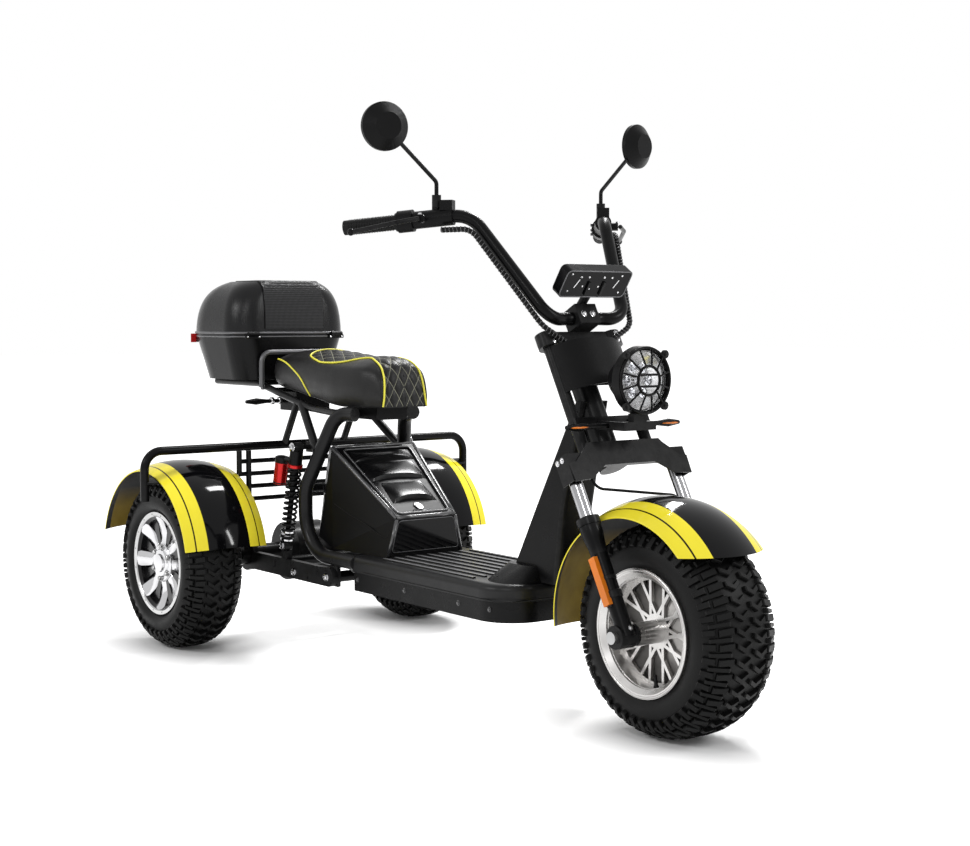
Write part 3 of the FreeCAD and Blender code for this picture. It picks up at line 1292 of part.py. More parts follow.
def grab_loop():
    x, half, z = n.loop_x, n.loop_half, n.loop_height
    low = n.case_floor - n.carrier_radius * 2
    loop = bar([vec(x, -half, low), vec(x, -half, z), vec(x, half, z), vec(x, half, low)],
               [n.loop_radius * 4, n.loop_radius * 4], n.loop_radius)
    inward = n.carrier_half + n.carrier_radius + n.fit_gap
    feet = rod(vec(x, -half, low), vec(x, -inward, low), n.loop_radius)
    shape_part("grab_loop", joined([loop, feet, other_side(feet)]))


def tail():
    shape_part("tail_block", block(n.tail_back, n.tail_front, -n.tail_half, n.tail_half,
                                   n.tail_low, n.tail_high))
    x = (n.tail_back + n.tail_front) / 2 - n.tail_half / 2
    z = (n.tail_low + n.tail_high) / 2
    start = vec(x, -n.tail_half - n.fit_gap, z)
    stem = rod(start, start - SIDE * n.tail_half, n.signal_radius * 0.6)
    tip = Part.makeCone(n.signal_radius * 0.6, n.signal_radius, n.signal_length / 2,
                        start - SIDE * n.tail_half, SIDE * -1)
    end = Part.makeCone(n.signal_radius, n.signal_radius * 0.5, n.signal_length / 2,
                        start - SIDE * (n.tail_half + n.signal_length / 2), SIDE * -1)
    shape_part("rear_signals", pair(joined([stem, tip, end])))


# Handlebar and what it carries

BAR_MID = fork(n.clamp_high + n.bar_lift, 0, n.bar_ahead)
BAR_FOOT = vec(n.bar_foot_x, -n.bar_foot_half, n.bar_foot_z)
BAR_CORNER = vec(n.bar_corner_x, -n.bar_corner_half, n.bar_corner_z)
BAR_END = vec(n.bar_end_x, -n.bar_end_half, n.bar_end_z)
GRIP_LINE = (BAR_CORNER - BAR_END).normalize()


def mirrored(point):
    return FreeCAD.Vector(point.x, -point.y, point.z)


def clamp_height():
    return n.bar_lift + n.bar_radius * 1.7


def handlebar():
    line = [BAR_END, BAR_CORNER, BAR_FOOT]
    start = vec(BAR_MID.x, -n.clamp_depth * 0.5 - n.bar_radius * 1.4, BAR_MID.z)
    line.append(start)
    line += [mirrored(p) for p in reversed(line)]
    bends = [n.bar_corner_bend, n.bar_foot_bend, n.bar_foot_bend]
    bends += list(reversed(bends))
    shape = bar(line, bends, n.bar_radius)
    shape_part("handlebar", shape)
    low = n.clamp_high + n.fit_gap
    grip = fork_block(low, low + clamp_height(), -n.clamp_depth * 0.5, n.clamp_depth * 0.5,
                      n.bar_ahead - n.bar_radius * 1.7, n.bar_ahead + n.bar_radius * 1.7)
    hole = rod(BAR_MID - SIDE * n.clamp_half, BAR_MID + SIDE * n.clamp_half,
               n.bar_radius + n.fit_gap)
    lean = FreeCAD.Rotation(SIDE, n.display_lean)
    centre = vec(n.display_x, 0, n.display_z)
    low = lean.multVec(vec(0, 0, -n.display_height / 2 - n.fit_gap)) + centre
    top = fork(n.clamp_high + clamp_height(), 0, n.bar_ahead)
    aim = (low - top).normalize()
    post = rod(top - aim * n.bar_radius, low + aim * n.bar_radius, n.bar_radius * 0.7)
    gap = n.fit_gap
    room = Part.makeBox(n.display_thick + gap * 2, n.display_half * 2,
                        n.display_height + gap * 2,
                        vec(-n.display_thick / 2 - gap, -n.display_half,
                            -n.display_height / 2 - gap))
    room.Placement = FreeCAD.Placement(centre, lean)
    shape_part("bar_clamp", joined([grip, post]).cut(hole).cut(room))


def grips():
    end = n.grip_length
    grow = n.bar_radius + n.fit_gap
    tube = rod(BAR_END - GRIP_LINE * n.grip_end, BAR_END + GRIP_LINE * end, n.grip_radius)
    flange = rod(BAR_END + GRIP_LINE * (end - n.grip_lip), BAR_END + GRIP_LINE * end,
                 n.grip_flange)
    hole = rod(BAR_END - GRIP_LINE * n.fit_gap, BAR_END + GRIP_LINE * (end + n.overcut), grow)
    shape_part("grips", pair(joined([tube, flange]).cut(hole)))


def controls():
    """Switch pod, lever perch and lever on each side."""
    grow = n.bar_radius + n.fit_gap
    start = BAR_END + GRIP_LINE * (n.grip_length + n.fit_gap)
    pod_end = start + GRIP_LINE * n.pod_length
    hole = rod(start - GRIP_LINE * n.pod_length,
               start + GRIP_LINE * (n.pod_length + n.perch_length * 1.4), grow)
    pod = rod(start, pod_end, n.pod_radius)
    perch_start = pod_end + GRIP_LINE * n.fit_gap
    perch = rod(perch_start, perch_start + GRIP_LINE * n.perch_length, n.perch_radius)
    shape_part("switch_pods", pair(pod.cut(hole)))
    ahead = UP.cross(GRIP_LINE).normalize()
    if ahead.x < 0:
        ahead = ahead * -1
    root = perch_start + GRIP_LINE * n.pivot_run
    pivot = root + ahead * (n.lever_ahead * 0.8)
    arm = rod(root, pivot, n.perch_radius * 0.5)
    boss_low = n.stalk_foot_z - n.stalk_mount_height / 3
    boss = rod(vec(n.stalk_x, -n.stalk_half, boss_low),
               vec(n.stalk_x, -n.stalk_half, n.stalk_foot_z - n.fit_gap), n.stalk_mount_radius)
    inner = perch_start + GRIP_LINE * (n.perch_length - n.fluid_box)
    wide = n.fluid_box / 2
    box = Part.makeBox(n.fluid_box, n.fluid_box, n.fluid_box_height)
    turn = FreeCAD.Rotation(FORWARD, vec(GRIP_LINE.x, GRIP_LINE.y, 0))
    box.Placement = FreeCAD.Placement(
        inner - turn.multVec(SIDE * wide) + UP * (n.perch_radius * 0.8), turn)
    shape_part("lever_perches", pair(joined([perch, arm, boss, box]).cut(hole)))
    tip = BAR_END + GRIP_LINE * (n.grip_length * 0.2) + ahead * n.lever_ahead - UP * n.bar_radius
    start = pivot + ahead * (n.lever_radius + n.fit_gap)
    knee = start + (tip - start) * 0.3 + ahead * n.lever_knee
    lever = bar([start, knee, tip], [n.lever_radius * 6], n.lever_radius)
    ball = Part.makeSphere(n.lever_radius * 1.6, tip)
    shape_part("brake_levers", pair(joined([lever, ball])))


def mirrors():
    foot = vec(n.stalk_x, -n.stalk_half, n.stalk_foot_z)
    bend = vec(n.stalk_x, -n.stalk_half, n.stalk_bend_z)
    middle = vec(n.mirror_x, -n.mirror_half, n.mirror_z)
    turn = radians(n.mirror_turn)
    face = FreeCAD.Vector(cos(turn), -sin(turn), 0)
    aim = (middle - bend).normalize()
    reach = middle - aim * (n.mirror_radius * 0.86)
    stalk = bar([foot, bend, reach], [n.stalk_radius * 3], n.stalk_radius)
    mount = rod(foot, foot + UP * n.stalk_mount_height, n.stalk_mount_radius)
    shape_part("mirror_stalks", pair(joined([stalk, mount])))
    r = n.mirror_radius
    d = n.mirror_depth
    rim = rod(middle - face * (d * 0.35), middle + face * (d * 0.1), r)
    back = Part.makeCone(r, r * 0.55, d * 0.9, middle + face * (d * 0.1), face)
    shell = joined([rim, back])
    rod_hole = rod(bend, middle, n.stalk_radius + n.fit_gap)
    shape_part("mirror_heads", pair(shell.cut(rod_hole)))


def display():
    w, tall, thick = n.display_half, n.display_height, n.display_thick
    shape = Part.makeBox(thick, w * 2, tall, vec(-thick / 2, -w, -tall / 2))
    edges = [e for e in shape.Edges if abs(e.Vertexes[0].X - e.Vertexes[1].X) > thick / 2]
    shape = shape.makeFillet(n.display_corner, edges)
    turn = FreeCAD.Rotation(SIDE, n.display_lean)
    centre = vec(n.display_x, 0, n.display_z)
    shape.Placement = FreeCAD.Placement(centre, turn)
    shape_part("display", shape)


# Headlight group

def headlight():
    x, z, r = n.lamp_x, n.lamp_z, n.lamp_radius
    depth = n.lamp_depth
    back = vec(x - depth, 0, z)
    bowl = Part.makeCone(r * 0.5, r * 0.96, depth * 0.7, back, FORWARD)
    rim = rod(vec(x - depth * 0.3, 0, z), vec(x, 0, z), r)
    cavity = Part.makeCone(r * 0.5 - n.sheet, r * 0.96 - n.sheet, depth * 0.7 - n.sheet,
                           back + FORWARD * n.sheet, FORWARD)
    bore = rod(vec(x - depth * 0.31, 0, z), vec(x + n.overcut, 0, z),
               n.lamp_lens_radius + n.sheet)
    shell = joined([bowl, rim]).cut(cavity).cut(bore)
    shape_part("headlight_shell", shell)
    lens = rod(vec(x - n.lamp_rim, 0, z), vec(x - n.sheet, 0, z),
               n.lamp_lens_radius + n.sheet - n.fit_gap)
    shape_part("headlight_lens", lens)


def headlight_guard():
    """Ring, inner circle, bars and spokes over the lamp, with four bolt ears."""
    x = n.lamp_x + n.fit_gap + n.guard_wire
    z = n.lamp_z
    wire = n.guard_wire
    mid = vec(x, 0, z)
    def circle(radius, ahead=0.0):
        return Part.makeTorus(radius, wire, mid + FORWARD * ahead, FORWARD)
    outer = n.lamp_radius - wire
    inner = n.guard_inner_radius
    ahead = n.guard_ahead
    shapes = [circle(outer), circle(inner, ahead)]
    for i in range(int(n.guard_spokes)):
        a = 2 * pi * (i + 0.5) / n.guard_spokes
        way = FreeCAD.Vector(0, cos(a), sin(a))
        shapes.append(rod(mid + way * outer, mid + way * inner + FORWARD * ahead, wire * 0.7))
    for level in (-0.4, 0.4):
        half = inner * sqrt(1 - level * level)
        spot = mid + FORWARD * ahead + UP * (inner * level)
        shapes.append(rod(spot - SIDE * half, spot + SIDE * half, wire * 0.8))
    for i in range(int(n.guard_ears)):
        a = 2 * pi * (i + 0.5) / n.guard_ears
        way = FreeCAD.Vector(0, cos(a), sin(a))
        spot = mid + way * (n.lamp_radius + n.guard_ear * 0.5)
        shapes.append(rod(spot - FORWARD * wire, spot + FORWARD * wire, n.guard_ear))
    shape_part("headlight_guard", joined(shapes))


def lamp_bracket():
    """Strip over the upper fork tubes, arms to the signals and a foot under the lamp."""
    tube = n.upper_tube_radius
    y = n.upper_half_gap
    gap = n.fit_gap
    inner = y * 0.5
    t = (n.front_signal_z - n.tyre_radius) / LEG.z
    strip = n.signal_radius
    cross = fork_block(t - strip, t + strip, -y - tube, y + tube, tube + gap,
                       tube + gap + n.sheet * 2)
    low, high = n.front_signal_z - strip, n.front_signal_z + strip
    front = n.lamp_x - n.lamp_rim
    shapes = [cross, block(front - strip * 2, front, -inner + gap, inner - gap, low, high)]
    for side in (-1, 1):
        edge = sorted((side * (inner - gap), side * (inner - gap - n.sheet * 2)))
        shapes.append(block(fork(t, 0, tube + n.sheet).x, front, edge[0], edge[1], low, high))
    foot = block(front - strip * 2, front, -strip * 2, strip * 2, low, n.lamp_z - n.lamp_rim)
    clear = rod(vec(n.lamp_x - n.lamp_depth, 0, n.lamp_z), vec(n.lamp_x, 0, n.lamp_z),
                n.lamp_radius + gap)
    shape_part("lamp_bracket", joined(shapes + [foot.cut(clear)]))


def front_signals():
    x, z = n.front_signal_x, n.front_signal_z
    tip = n.front_signal_half
    r = n.signal_radius
    inner = n.upper_half_gap * 0.5
    stem = rod(vec(x, -inner, z), vec(x, -tip + n.signal_length, z), r * 0.6)
    swell = Part.makeCone(r * 0.6, r, n.signal_length / 2, vec(x, -tip + n.signal_length, z),
                          SIDE * -1)
    end = Part.makeCone(r, r * 0.5, n.signal_length / 2,
                        vec(x, -tip + n.signal_length / 2, z), SIDE * -1)
    shape_part("front_signals", pair(joined([stem, swell, end])))


def front_shroud():
    """Curved cover between the upper fork tubes, under the top clamp."""
    half = n.shroud_half
    near = n.upper_tube_radius + n.fit_gap
    far = near + n.shroud_bulge
    thick = n.sheet
    def edge(w_side, w_mid, y):
        return Part.Arc(fork(n.shroud_low, -y, w_side), fork(n.shroud_low, 0, w_mid),
                        fork(n.shroud_low, y, w_side)).toShape()
    inner = edge(near, far, half)
    outer = edge(near + thick, far + thick, half)
    ends = [Part.LineSegment(fork(n.shroud_low, y, near),
                             fork(n.shroud_low, y, near + thick)).toShape()
            for y in (-half, half)]
    wire = Part.Wire(Part.__sortEdges__([inner, ends[1], outer, ends[0]]))
    shell = Part.Face(wire).extrude(LEG * (n.shroud_high - n.shroud_low))
    straps = []
    for low in (n.shroud_low + n.strap_width, n.shroud_high - n.strap_width):
        straps.append(fork_block(low, low + n.strap_width, -half, half, near, near + thick))
    shape_part("front_shroud", joined([shell] + straps))


# Cables and the brake hose

def cables():
    """A bundle from each lever down the bar and in behind the shroud."""
    line = [
        vec(n.cable_start_x, -n.cable_start_half, n.cable_start_z),
        vec(n.cable_high_x, -n.cable_high_half, n.cable_high_z),
        vec(n.cable_low_x, -n.cable_low_half, n.cable_low_z),
        fork(n.shroud_high - n.cable_radius, -n.cable_end_half,
             n.upper_tube_radius + n.sheet + n.cable_radius + n.fit_gap * 2),
    ]
    shape = bar(line, [n.cable_bend, n.cable_bend], n.cable_radius)
    shape_part("control_cables", pair(shape))


def brake_hose():
    """From the yoke across the fender to the left slider."""
    over = n.hose_half
    low = n.slider_top + n.fit_gap
    w = n.hose_drop
    line = [
        fork(n.yoke_low - n.fit_gap, -over, w), fork(n.yoke_foot - w, -over, w),
        fork(low + n.hose_rise, over + w, w / 2), fork(low, over + w, w / 2),
    ]
    shape_part("brake_hose", bar(line, [n.hose_bend, n.hose_bend], n.hose_radius))


tyre("front_tyre", s.wheelbase, 0, s.tyre_half_width, s.tread_half_width, s.rim_half_width)
for name, middle in (("rear_tyre_right", -s.rear_half_track), ("rear_tyre_left", s.rear_half_track)):
    tyre(name, 0, middle, s.rear_tyre_half_width, s.rear_tread_half_width,
         s.rear_rim_half_width)
front_rim()
rear_rim("rear_rim_right", -1)
rear_rim("rear_rim_left", 1)
front_axle()
fork_parts()
yoke()
top_clamp()
front_fender()
rear_fenders()
for make in (main_frame, deck, neck, collar, battery_box, seat, rear_axle, swing_arm,
             shocks, rear_hoop, top_case, grab_loop, tail, handlebar, grips, controls,
             mirrors, display, headlight, headlight_guard, lamp_bracket, front_signals,
             front_shroud, cables, brake_hose):
    make()

doc.recompute()
for thing in doc.Objects:
    if "Invalid" in thing.State or "Error" in thing.State:
        raise RuntimeError("failed: %s %s" % (thing.Label, thing.State))
os.makedirs("parts", exist_ok=True)
for thing in PARTS:
    if thing.Shape.isNull() or not thing.Shape.isValid():
        raise RuntimeError("bad shape: " + thing.Label)
    thing.Shape.exportStep("parts/%s.step" % thing.Label)
    box = thing.Shape.BoundBox
    print(thing.Label, len(thing.Shape.Solids), round(thing.Shape.Volume),
          [round(v) for v in (box.XMin, box.XMax, box.YMin, box.YMax, box.ZMin, box.ZMax)])
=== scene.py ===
import bpy
import bmesh
import numpy as np
from math import sin, cos, pi, radians, hypot
from mathutils import Vector, Matrix

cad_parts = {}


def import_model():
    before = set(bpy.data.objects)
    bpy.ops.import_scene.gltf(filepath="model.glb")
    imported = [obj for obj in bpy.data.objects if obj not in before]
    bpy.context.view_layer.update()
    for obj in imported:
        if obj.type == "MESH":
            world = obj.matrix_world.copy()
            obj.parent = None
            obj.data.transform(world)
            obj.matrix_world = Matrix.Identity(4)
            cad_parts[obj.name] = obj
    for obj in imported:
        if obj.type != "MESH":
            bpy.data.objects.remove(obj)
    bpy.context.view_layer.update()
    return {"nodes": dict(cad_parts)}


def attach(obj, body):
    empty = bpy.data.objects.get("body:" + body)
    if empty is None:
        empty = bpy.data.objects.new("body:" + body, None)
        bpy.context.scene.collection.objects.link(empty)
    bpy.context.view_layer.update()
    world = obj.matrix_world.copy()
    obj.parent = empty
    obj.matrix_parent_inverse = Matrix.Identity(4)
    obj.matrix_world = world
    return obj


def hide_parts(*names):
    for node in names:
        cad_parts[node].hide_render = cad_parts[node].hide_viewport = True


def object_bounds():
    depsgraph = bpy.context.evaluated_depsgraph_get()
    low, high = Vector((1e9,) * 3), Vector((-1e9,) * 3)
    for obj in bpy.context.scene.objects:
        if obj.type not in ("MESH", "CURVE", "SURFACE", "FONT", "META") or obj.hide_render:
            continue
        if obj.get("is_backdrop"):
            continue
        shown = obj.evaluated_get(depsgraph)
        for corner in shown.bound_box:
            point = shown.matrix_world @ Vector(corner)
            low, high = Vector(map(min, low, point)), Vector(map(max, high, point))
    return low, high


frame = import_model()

scene = bpy.context.scene
NODES = frame["nodes"]
# Metres from the rear axle line to the frame's middle
MIDDLE = 0.64885
# Millimetres: wheelbase, half the rear track, wheel radius at the axles
WHEELBASE, HALF_TRACK, AXLE_HEIGHT = 1462, 365, 222
SIDES = (-1, 1)


def V(*xyz):
    return Vector(xyz)


def P(x, y, z):
    """A place in millimetres from the rear axle line, turned into the frame's metres."""
    return V(x / 1000 - MIDDLE, y / 1000, z / 1000)


FORWARD, UP = V(1, 0, 0), V(0, 0, 1)


def out(side):
    """The way out to the left (1) or the right (-1)."""
    return V(0, side, 0)


def circle(count, start=0):
    """Angles in equal steps round a circle."""
    return [2 * pi * (k + start) / count for k in range(count)]


def place(name, data):
    thing = bpy.data.objects.new(name, data)
    scene.collection.objects.link(thing)
    return thing


# Camera at the photograph's angle

AZIMUTH, DROP = 0.9200415, 0.0645922
lens = bpy.data.cameras.new("camera")
lens.sensor_width = 36
lens.lens = 62.415
lens.clip_end = 100
camera = place("camera", lens)
looking = V(-sin(AZIMUTH) * cos(DROP), cos(AZIMUTH) * cos(DROP), -sin(DROP))
turn = looking.to_track_quat("-Z", "Y").to_matrix().to_4x4()
camera.matrix_world = Matrix.Translation((3.28036, -2.3642, 0.86147)) @ turn
scene.camera = camera
scene.view_settings.view_transform = "Standard"


# Materials

class Graph:
    """Shader nodes of a material or the world, put in and linked by short calls."""

    def __init__(self, owner):
        owner.use_nodes = True
        self.nodes = owner.node_tree.nodes
        self.links = owner.node_tree.links

    def put(self, kind, *values, **settings):
        node = self.nodes.new("ShaderNode" + kind)
        for key, value in settings.items():
            setattr(node, key, value)
        for i, value in enumerate(values):
            self.set(node.inputs[i], value)
        return node

    def fill(self, node, **values):
        for name, value in values.items():
            self.set(node.inputs[name.replace("_", " ")], value)
        return node.outputs

    def set(self, socket, value):
        if isinstance(value, bpy.types.NodeSocket):
            self.links.new(value, socket)
        elif isinstance(value, (tuple, list)) and len(value) == 3 and socket.type == "RGBA":
            socket.default_value = (*value, 1)
        else:
            socket.default_value = value

    def math(self, how, a, b=0):
        return self.put("Math", a, b, operation=how).outputs[0]

    def times(self, a, b):
        return self.math("MULTIPLY", a, b)

    def plus(self, a, b):
        return self.math("ADD", a, b)

    def less(self, a, b):
        return self.math("SUBTRACT", a, b)

    def reach(self, a, b):
        """Length of the diagonal over two distances."""
        return self.math("SQRT", self.plus(self.times(a, a), self.times(b, b)))

    def span(self, value, low, high, a, b):
        return self.put("MapRange", value, low, high, a, b).outputs[0]

    def seen(self):
        """One for what the camera, mirrors and glass see, nought for light on the object."""
        path = self.put("LightPath").outputs
        return self.math("MAXIMUM", path["Is Camera Ray"],
                         self.math("MAXIMUM", path["Is Glossy Ray"], path["Is Transmission Ray"]))


class Paint(Graph):
    """A Principled material whose colour, gloss and relief come from textures."""

    def __init__(self, name):
        self.m = bpy.data.materials.new(name)
        super().__init__(self.m)
        self.shader = self.nodes["Principled BSDF"]
        self.at = self.put("TexCoord").outputs["Object"]

    def noise(self, scale, detail=3):
        return self.fill(self.put("TexNoise"), Vector=self.at, Scale=scale, Detail=detail,
                         Roughness=0.55)["Fac"]

    def cells(self, scale):
        return self.fill(self.put("TexVoronoi"), Vector=self.at, Scale=scale)["Distance"]

    def mix(self, factor, a, b):
        node = self.put("Mix", factor, data_type="RGBA")
        self.set(node.inputs[6], a)
        self.set(node.inputs[7], b)
        return node.outputs[2]

    def axes(self, at=None):
        return self.put("SeparateXYZ", at or self.at).outputs

    def band(self, value, low, high, soft=0.0004):
        """One between low and high, nought outside."""
        up = self.span(value, low - soft, low + soft, 0, 1)
        down = self.span(value, high - soft, high + soft, 1, 0)
        return self.times(up, down)

    def bump(self, height, strength, distance, below=None):
        more = {"Normal": below} if below else {}
        return self.fill(self.put("Bump"), Strength=strength, Distance=distance, Height=height,
                         **more)["Normal"]

    def give(self, **sockets):
        self.fill(self.shader, **sockets)
        return self.m


def shade(color, share):
    return tuple(min(c * share, 1) for c in color)


def surface(name, color, rough, metal=0, grain=900, depth=0.15, tone=0.12, swing=0.06,
            wear=0, cell=0, cell_depth=0.3, shine=0.5):
    """A surface with slow changes of tone and gloss, fine grain, and lighter edges."""
    p = Paint(name)
    slow = p.noise(9, 4)
    base = p.mix(p.span(slow, 0.3, 0.7, 0, 1), shade(color, 1 - tone), shade(color, 1 + tone))
    if wear:
        edge = p.put("NewGeometry").outputs["Pointiness"]
        rubbed = p.times(p.span(edge, 0.52, 0.6, 0, wear), p.noise(60))
        base = p.mix(rubbed, base, (0.2, 0.2, 0.2))
    gloss = p.span(p.noise(23, 5), 0.25, 0.75, max(rough - swing, 0.01), rough + swing)
    relief = p.bump(p.noise(grain, 2), depth, 0.0004)
    if cell:
        relief = p.bump(p.cells(cell), cell_depth, 0.0006, relief)
    return p.give(Base_Color=base, Roughness=gloss, Metallic=metal, Normal=relief,
                  Specular_IOR_Level=shine)


GLOSS = surface("gloss_black", (0.0025, 0.0025, 0.003), 0.08, grain=160, depth=0.03, swing=0.03,
                shine=0.14)
SATIN = surface("satin_black", (0.0032, 0.0032, 0.0035), 0.3, grain=700, depth=0.12, wear=0.12,
                shine=0.09)
GREYSATIN = surface("dark_grey_tube", (0.0075, 0.0075, 0.008), 0.3, grain=700, depth=0.1,
                    wear=0.2, shine=0.15)
PLASTIC = surface("black_plastic", (0.0038, 0.0038, 0.004), 0.38, grain=1500, depth=0.35,
                  cell=900, cell_depth=0.2, shine=0.09)
DECK = surface("deck_plastic", (0.0042, 0.0042, 0.0045), 0.28, grain=1200, depth=0.25,
               cell=1000, cell_depth=0.15, shine=0.11)
BOX = surface("box_plastic", (0.003, 0.003, 0.0033), 0.33, grain=500, depth=0.06, swing=0.04,
              shine=0.1)
SHELL = surface("shell_plastic", (0.0042, 0.0042, 0.0046), 0.26, grain=300, depth=0.03,
                swing=0.03, shine=0.24)
# Grey base far lighter than the other blacks: a painted highlight along the box edge cords; the
# deck bolts and cable wraps share it
EDGE = surface("sheen_painted_edge", (0.03, 0.03, 0.032), 0.24, grain=500, depth=0.05,
               shine=0.8)
CASE = surface("case_plastic", (0.004, 0.004, 0.0044), 0.25, grain=900, depth=0.08, cell=700,
               cell_depth=0.1, shine=0.11)
CHROME = surface("chrome", (0.56, 0.56, 0.57), 0.12, 1, grain=240, depth=0.04, tone=0.05)
TUBE = surface("polished_tube", (0.36, 0.36, 0.37), 0.17, 1, grain=240, depth=0.04, tone=0.05)
STEEL = surface("zinc_steel", (0.36, 0.36, 0.36), 0.3, 1, grain=600, depth=0.2, tone=0.15)
ALLOY = surface("polished_alloy", (0.5, 0.49, 0.48), 0.3, 1, grain=420, depth=0.2,
                tone=0.1, swing=0.09)
BACKING = surface("rim_backing", (0.3, 0.29, 0.28), 0.42, 0.8, grain=500, depth=0.3, tone=0.3)
RED = surface("red_anodised", (0.45, 0.006, 0.006), 0.25, 0.6, grain=500, depth=0.08)
RUBBER = surface("black_rubber", (0.0042, 0.0042, 0.0042), 0.46, grain=800, depth=0.4, tone=0.25,
                 cell=500, cell_depth=0.15, shine=0.13)
YELLOW = surface("yellow_piping", (0.8, 0.74, 0.06), 0.45, grain=1500, depth=0.3)
AMBER = surface("amber_plastic", (0.74, 0.19, 0.01), 0.22, grain=900, depth=0.1, cell=420,
                cell_depth=0.8, shine=0.3)
REDLENS = surface("red_reflector", (0.62, 0.02, 0.02), 0.2, grain=900, depth=0.1, cell=380,
                  cell_depth=0.9, shine=0.3)
SCREEN = surface("dark_screen", (0.0025, 0.0025, 0.003), 0.16, grain=300, depth=0.02,
                 shine=0.09)
GREYBAR = surface("grey_bar", (0.1, 0.1, 0.105), 0.35, 0.5, grain=600, depth=0.1)
MIRROR = surface("mirror_glass", (0.7, 0.71, 0.72), 0.03, 1, grain=40, depth=0.004,
                 swing=0.005, tone=0.01)
BATTERY = surface("battery_case", (0.03, 0.05, 0.09), 0.5, grain=900, depth=0.3)
REFLECTOR = surface("lamp_reflector", (0.86, 0.85, 0.83), 0.22, 0.9, grain=90, depth=0.15,
                    cell=55, cell_depth=1)


def glass():
    p = Paint("clear_lens")
    relief = p.bump(p.cells(160), 0.25, 0.0006)
    p.give(Base_Color=(0.97, 0.98, 1), Transmission_Weight=1, Normal=relief,
           Roughness=p.span(p.noise(30), 0.3, 0.7, 0, 0.04))
    p.shader.inputs["IOR"].default_value = 1.35
    return p.m


GLASS = glass()


def fender_paint(name, centre_x, centre_z, middle, half, stripe):
    """Gloss black, yellow bands along the edges; inner face ochre low down, black above as painted
    shade.
    """
    p = Paint(name)
    x, y, z = p.axes()
    off = p.math("ABSOLUTE", p.less(y, middle))
    band = p.span(off, stripe - 0.0003, stripe + 0.0003, 0, 1)
    pin = p.band(off, half - 0.027, half - 0.0235)
    band = p.times(band, p.less(1, pin))
    slow = p.noise(14)
    yellow = p.mix(slow, (0.82, 0.69, 0.03), (0.9, 0.78, 0.05))
    color = p.mix(band, (0.0025, 0.0025, 0.003), yellow)
    normal = p.put("NewGeometry").outputs["True Normal"]
    nx, _, nz = p.axes(normal)
    dx = p.less(x, centre_x)
    dz = p.less(z, centre_z)
    facing = p.plus(p.times(nx, dx), p.times(nz, dz))
    inside = p.span(facing, -0.02, -0.05, 0, 1)
    rim = p.less(1, p.band(off, half - 0.016, half + 0.02))
    lining = p.mix(p.noise(30, 5), (0.2, 0.125, 0.012), (0.36, 0.25, 0.03))
    lining = p.mix(rim, (0.01, 0.009, 0.008), lining)
    # Painted shade: the inner face turns black higher up, where it lies under the fender in shadow
    lining = p.mix(p.span(z, 0.345, 0.405, 0, 1), lining, (0.004, 0.004, 0.0045))
    color = p.mix(inside, color, lining)
    gloss = p.span(p.noise(20), 0.3, 0.7, 0.05, 0.11)
    gloss = p.plus(gloss, p.times(inside, 0.4))
    relief = p.bump(p.noise(130), 0.025, 0.0005)
    return p.give(Base_Color=color, Roughness=gloss, Normal=relief, Specular_IOR_Level=0.14)


def rear_rim_paint():
    """Silver lip, everything inside it gloss black."""
    p = Paint("rear_rim")
    x, y, z = p.axes()
    r = p.reach(p.plus(x, MIDDLE), p.less(z, AXLE_HEIGHT / 1000))
    y = p.math("ABSOLUTE", y)
    lip = p.times(p.span(r, 0.1195, 0.1205, 0, 1), p.span(y, 0.424, 0.426, 0, 1))
    color = p.mix(lip, (0.0035, 0.0035, 0.004), (0.46, 0.46, 0.46))
    return p.give(Base_Color=color, Metallic=lip, Specular_IOR_Level=0.3,
                  Roughness=p.span(p.noise(40), 0.3, 0.7, 0.12, 0.24),
                  Normal=p.bump(p.noise(300), 0.08, 0.0004))


def deck_paint():
    """Black pan with the tops of its ribs painted a lighter silver grey, a painted sheen."""
    p = Paint("deck_board")
    z = p.axes()[2]
    rib = p.span(z, 0.2762, 0.2768, 0, 1)
    color = p.mix(p.noise(18), (0.0065, 0.0065, 0.007), (0.01, 0.01, 0.0105))
    # Painted sheen: the rib tops, picked out by height, are lighter grey where light falls on them
    rib_sheen = p.mix(p.noise(70, 5), (0.09, 0.09, 0.092), (0.2, 0.2, 0.205))
    relief = p.bump(p.noise(1200), 0.3, 0.0004)
    return p.give(Base_Color=p.mix(rib, color, rib_sheen), Specular_IOR_Level=0.22,
                  Roughness=p.span(p.noise(25), 0.3, 0.7, 0.28, 0.42), Normal=relief)


def lid_paint():
    """Grained black plastic; the raised front panel has a fine woven relief."""
    p = Paint("case_lid")
    x, y, z = p.axes()
    side = p.math("ABSOLUTE", y)
    panel = p.times(p.span(side, 0.09, 0.0915, 1, 0),
                   p.span(x, -0.192 - MIDDLE, -0.19 - MIDDLE, 0, 1))
    panel = p.times(panel, p.span(z, 0.82, 0.8215, 0, 1))
    run = p.plus(x, z)
    one = p.math("SINE", p.times(p.plus(run, y), 820))
    two = p.math("SINE", p.times(p.less(run, y), 820))
    weave = p.times(p.times(one, two), panel)
    tint = p.span(weave, -0.2, 0.9, 0, 1)
    color = p.mix(p.noise(9), (0.0045, 0.0045, 0.005), (0.006, 0.006, 0.0065))
    color = p.mix(p.times(tint, panel), color, (0.045, 0.045, 0.047))
    relief = p.bump(weave, 0.6, 0.0007, p.bump(p.cells(1100), 0.2, 0.0005))
    return p.give(Base_Color=color, Specular_IOR_Level=0.2, Normal=relief,
                  Roughness=p.plus(p.span(p.noise(23), 0.25, 0.75, 0.22, 0.3),
                                   p.times(panel, 0.12)))


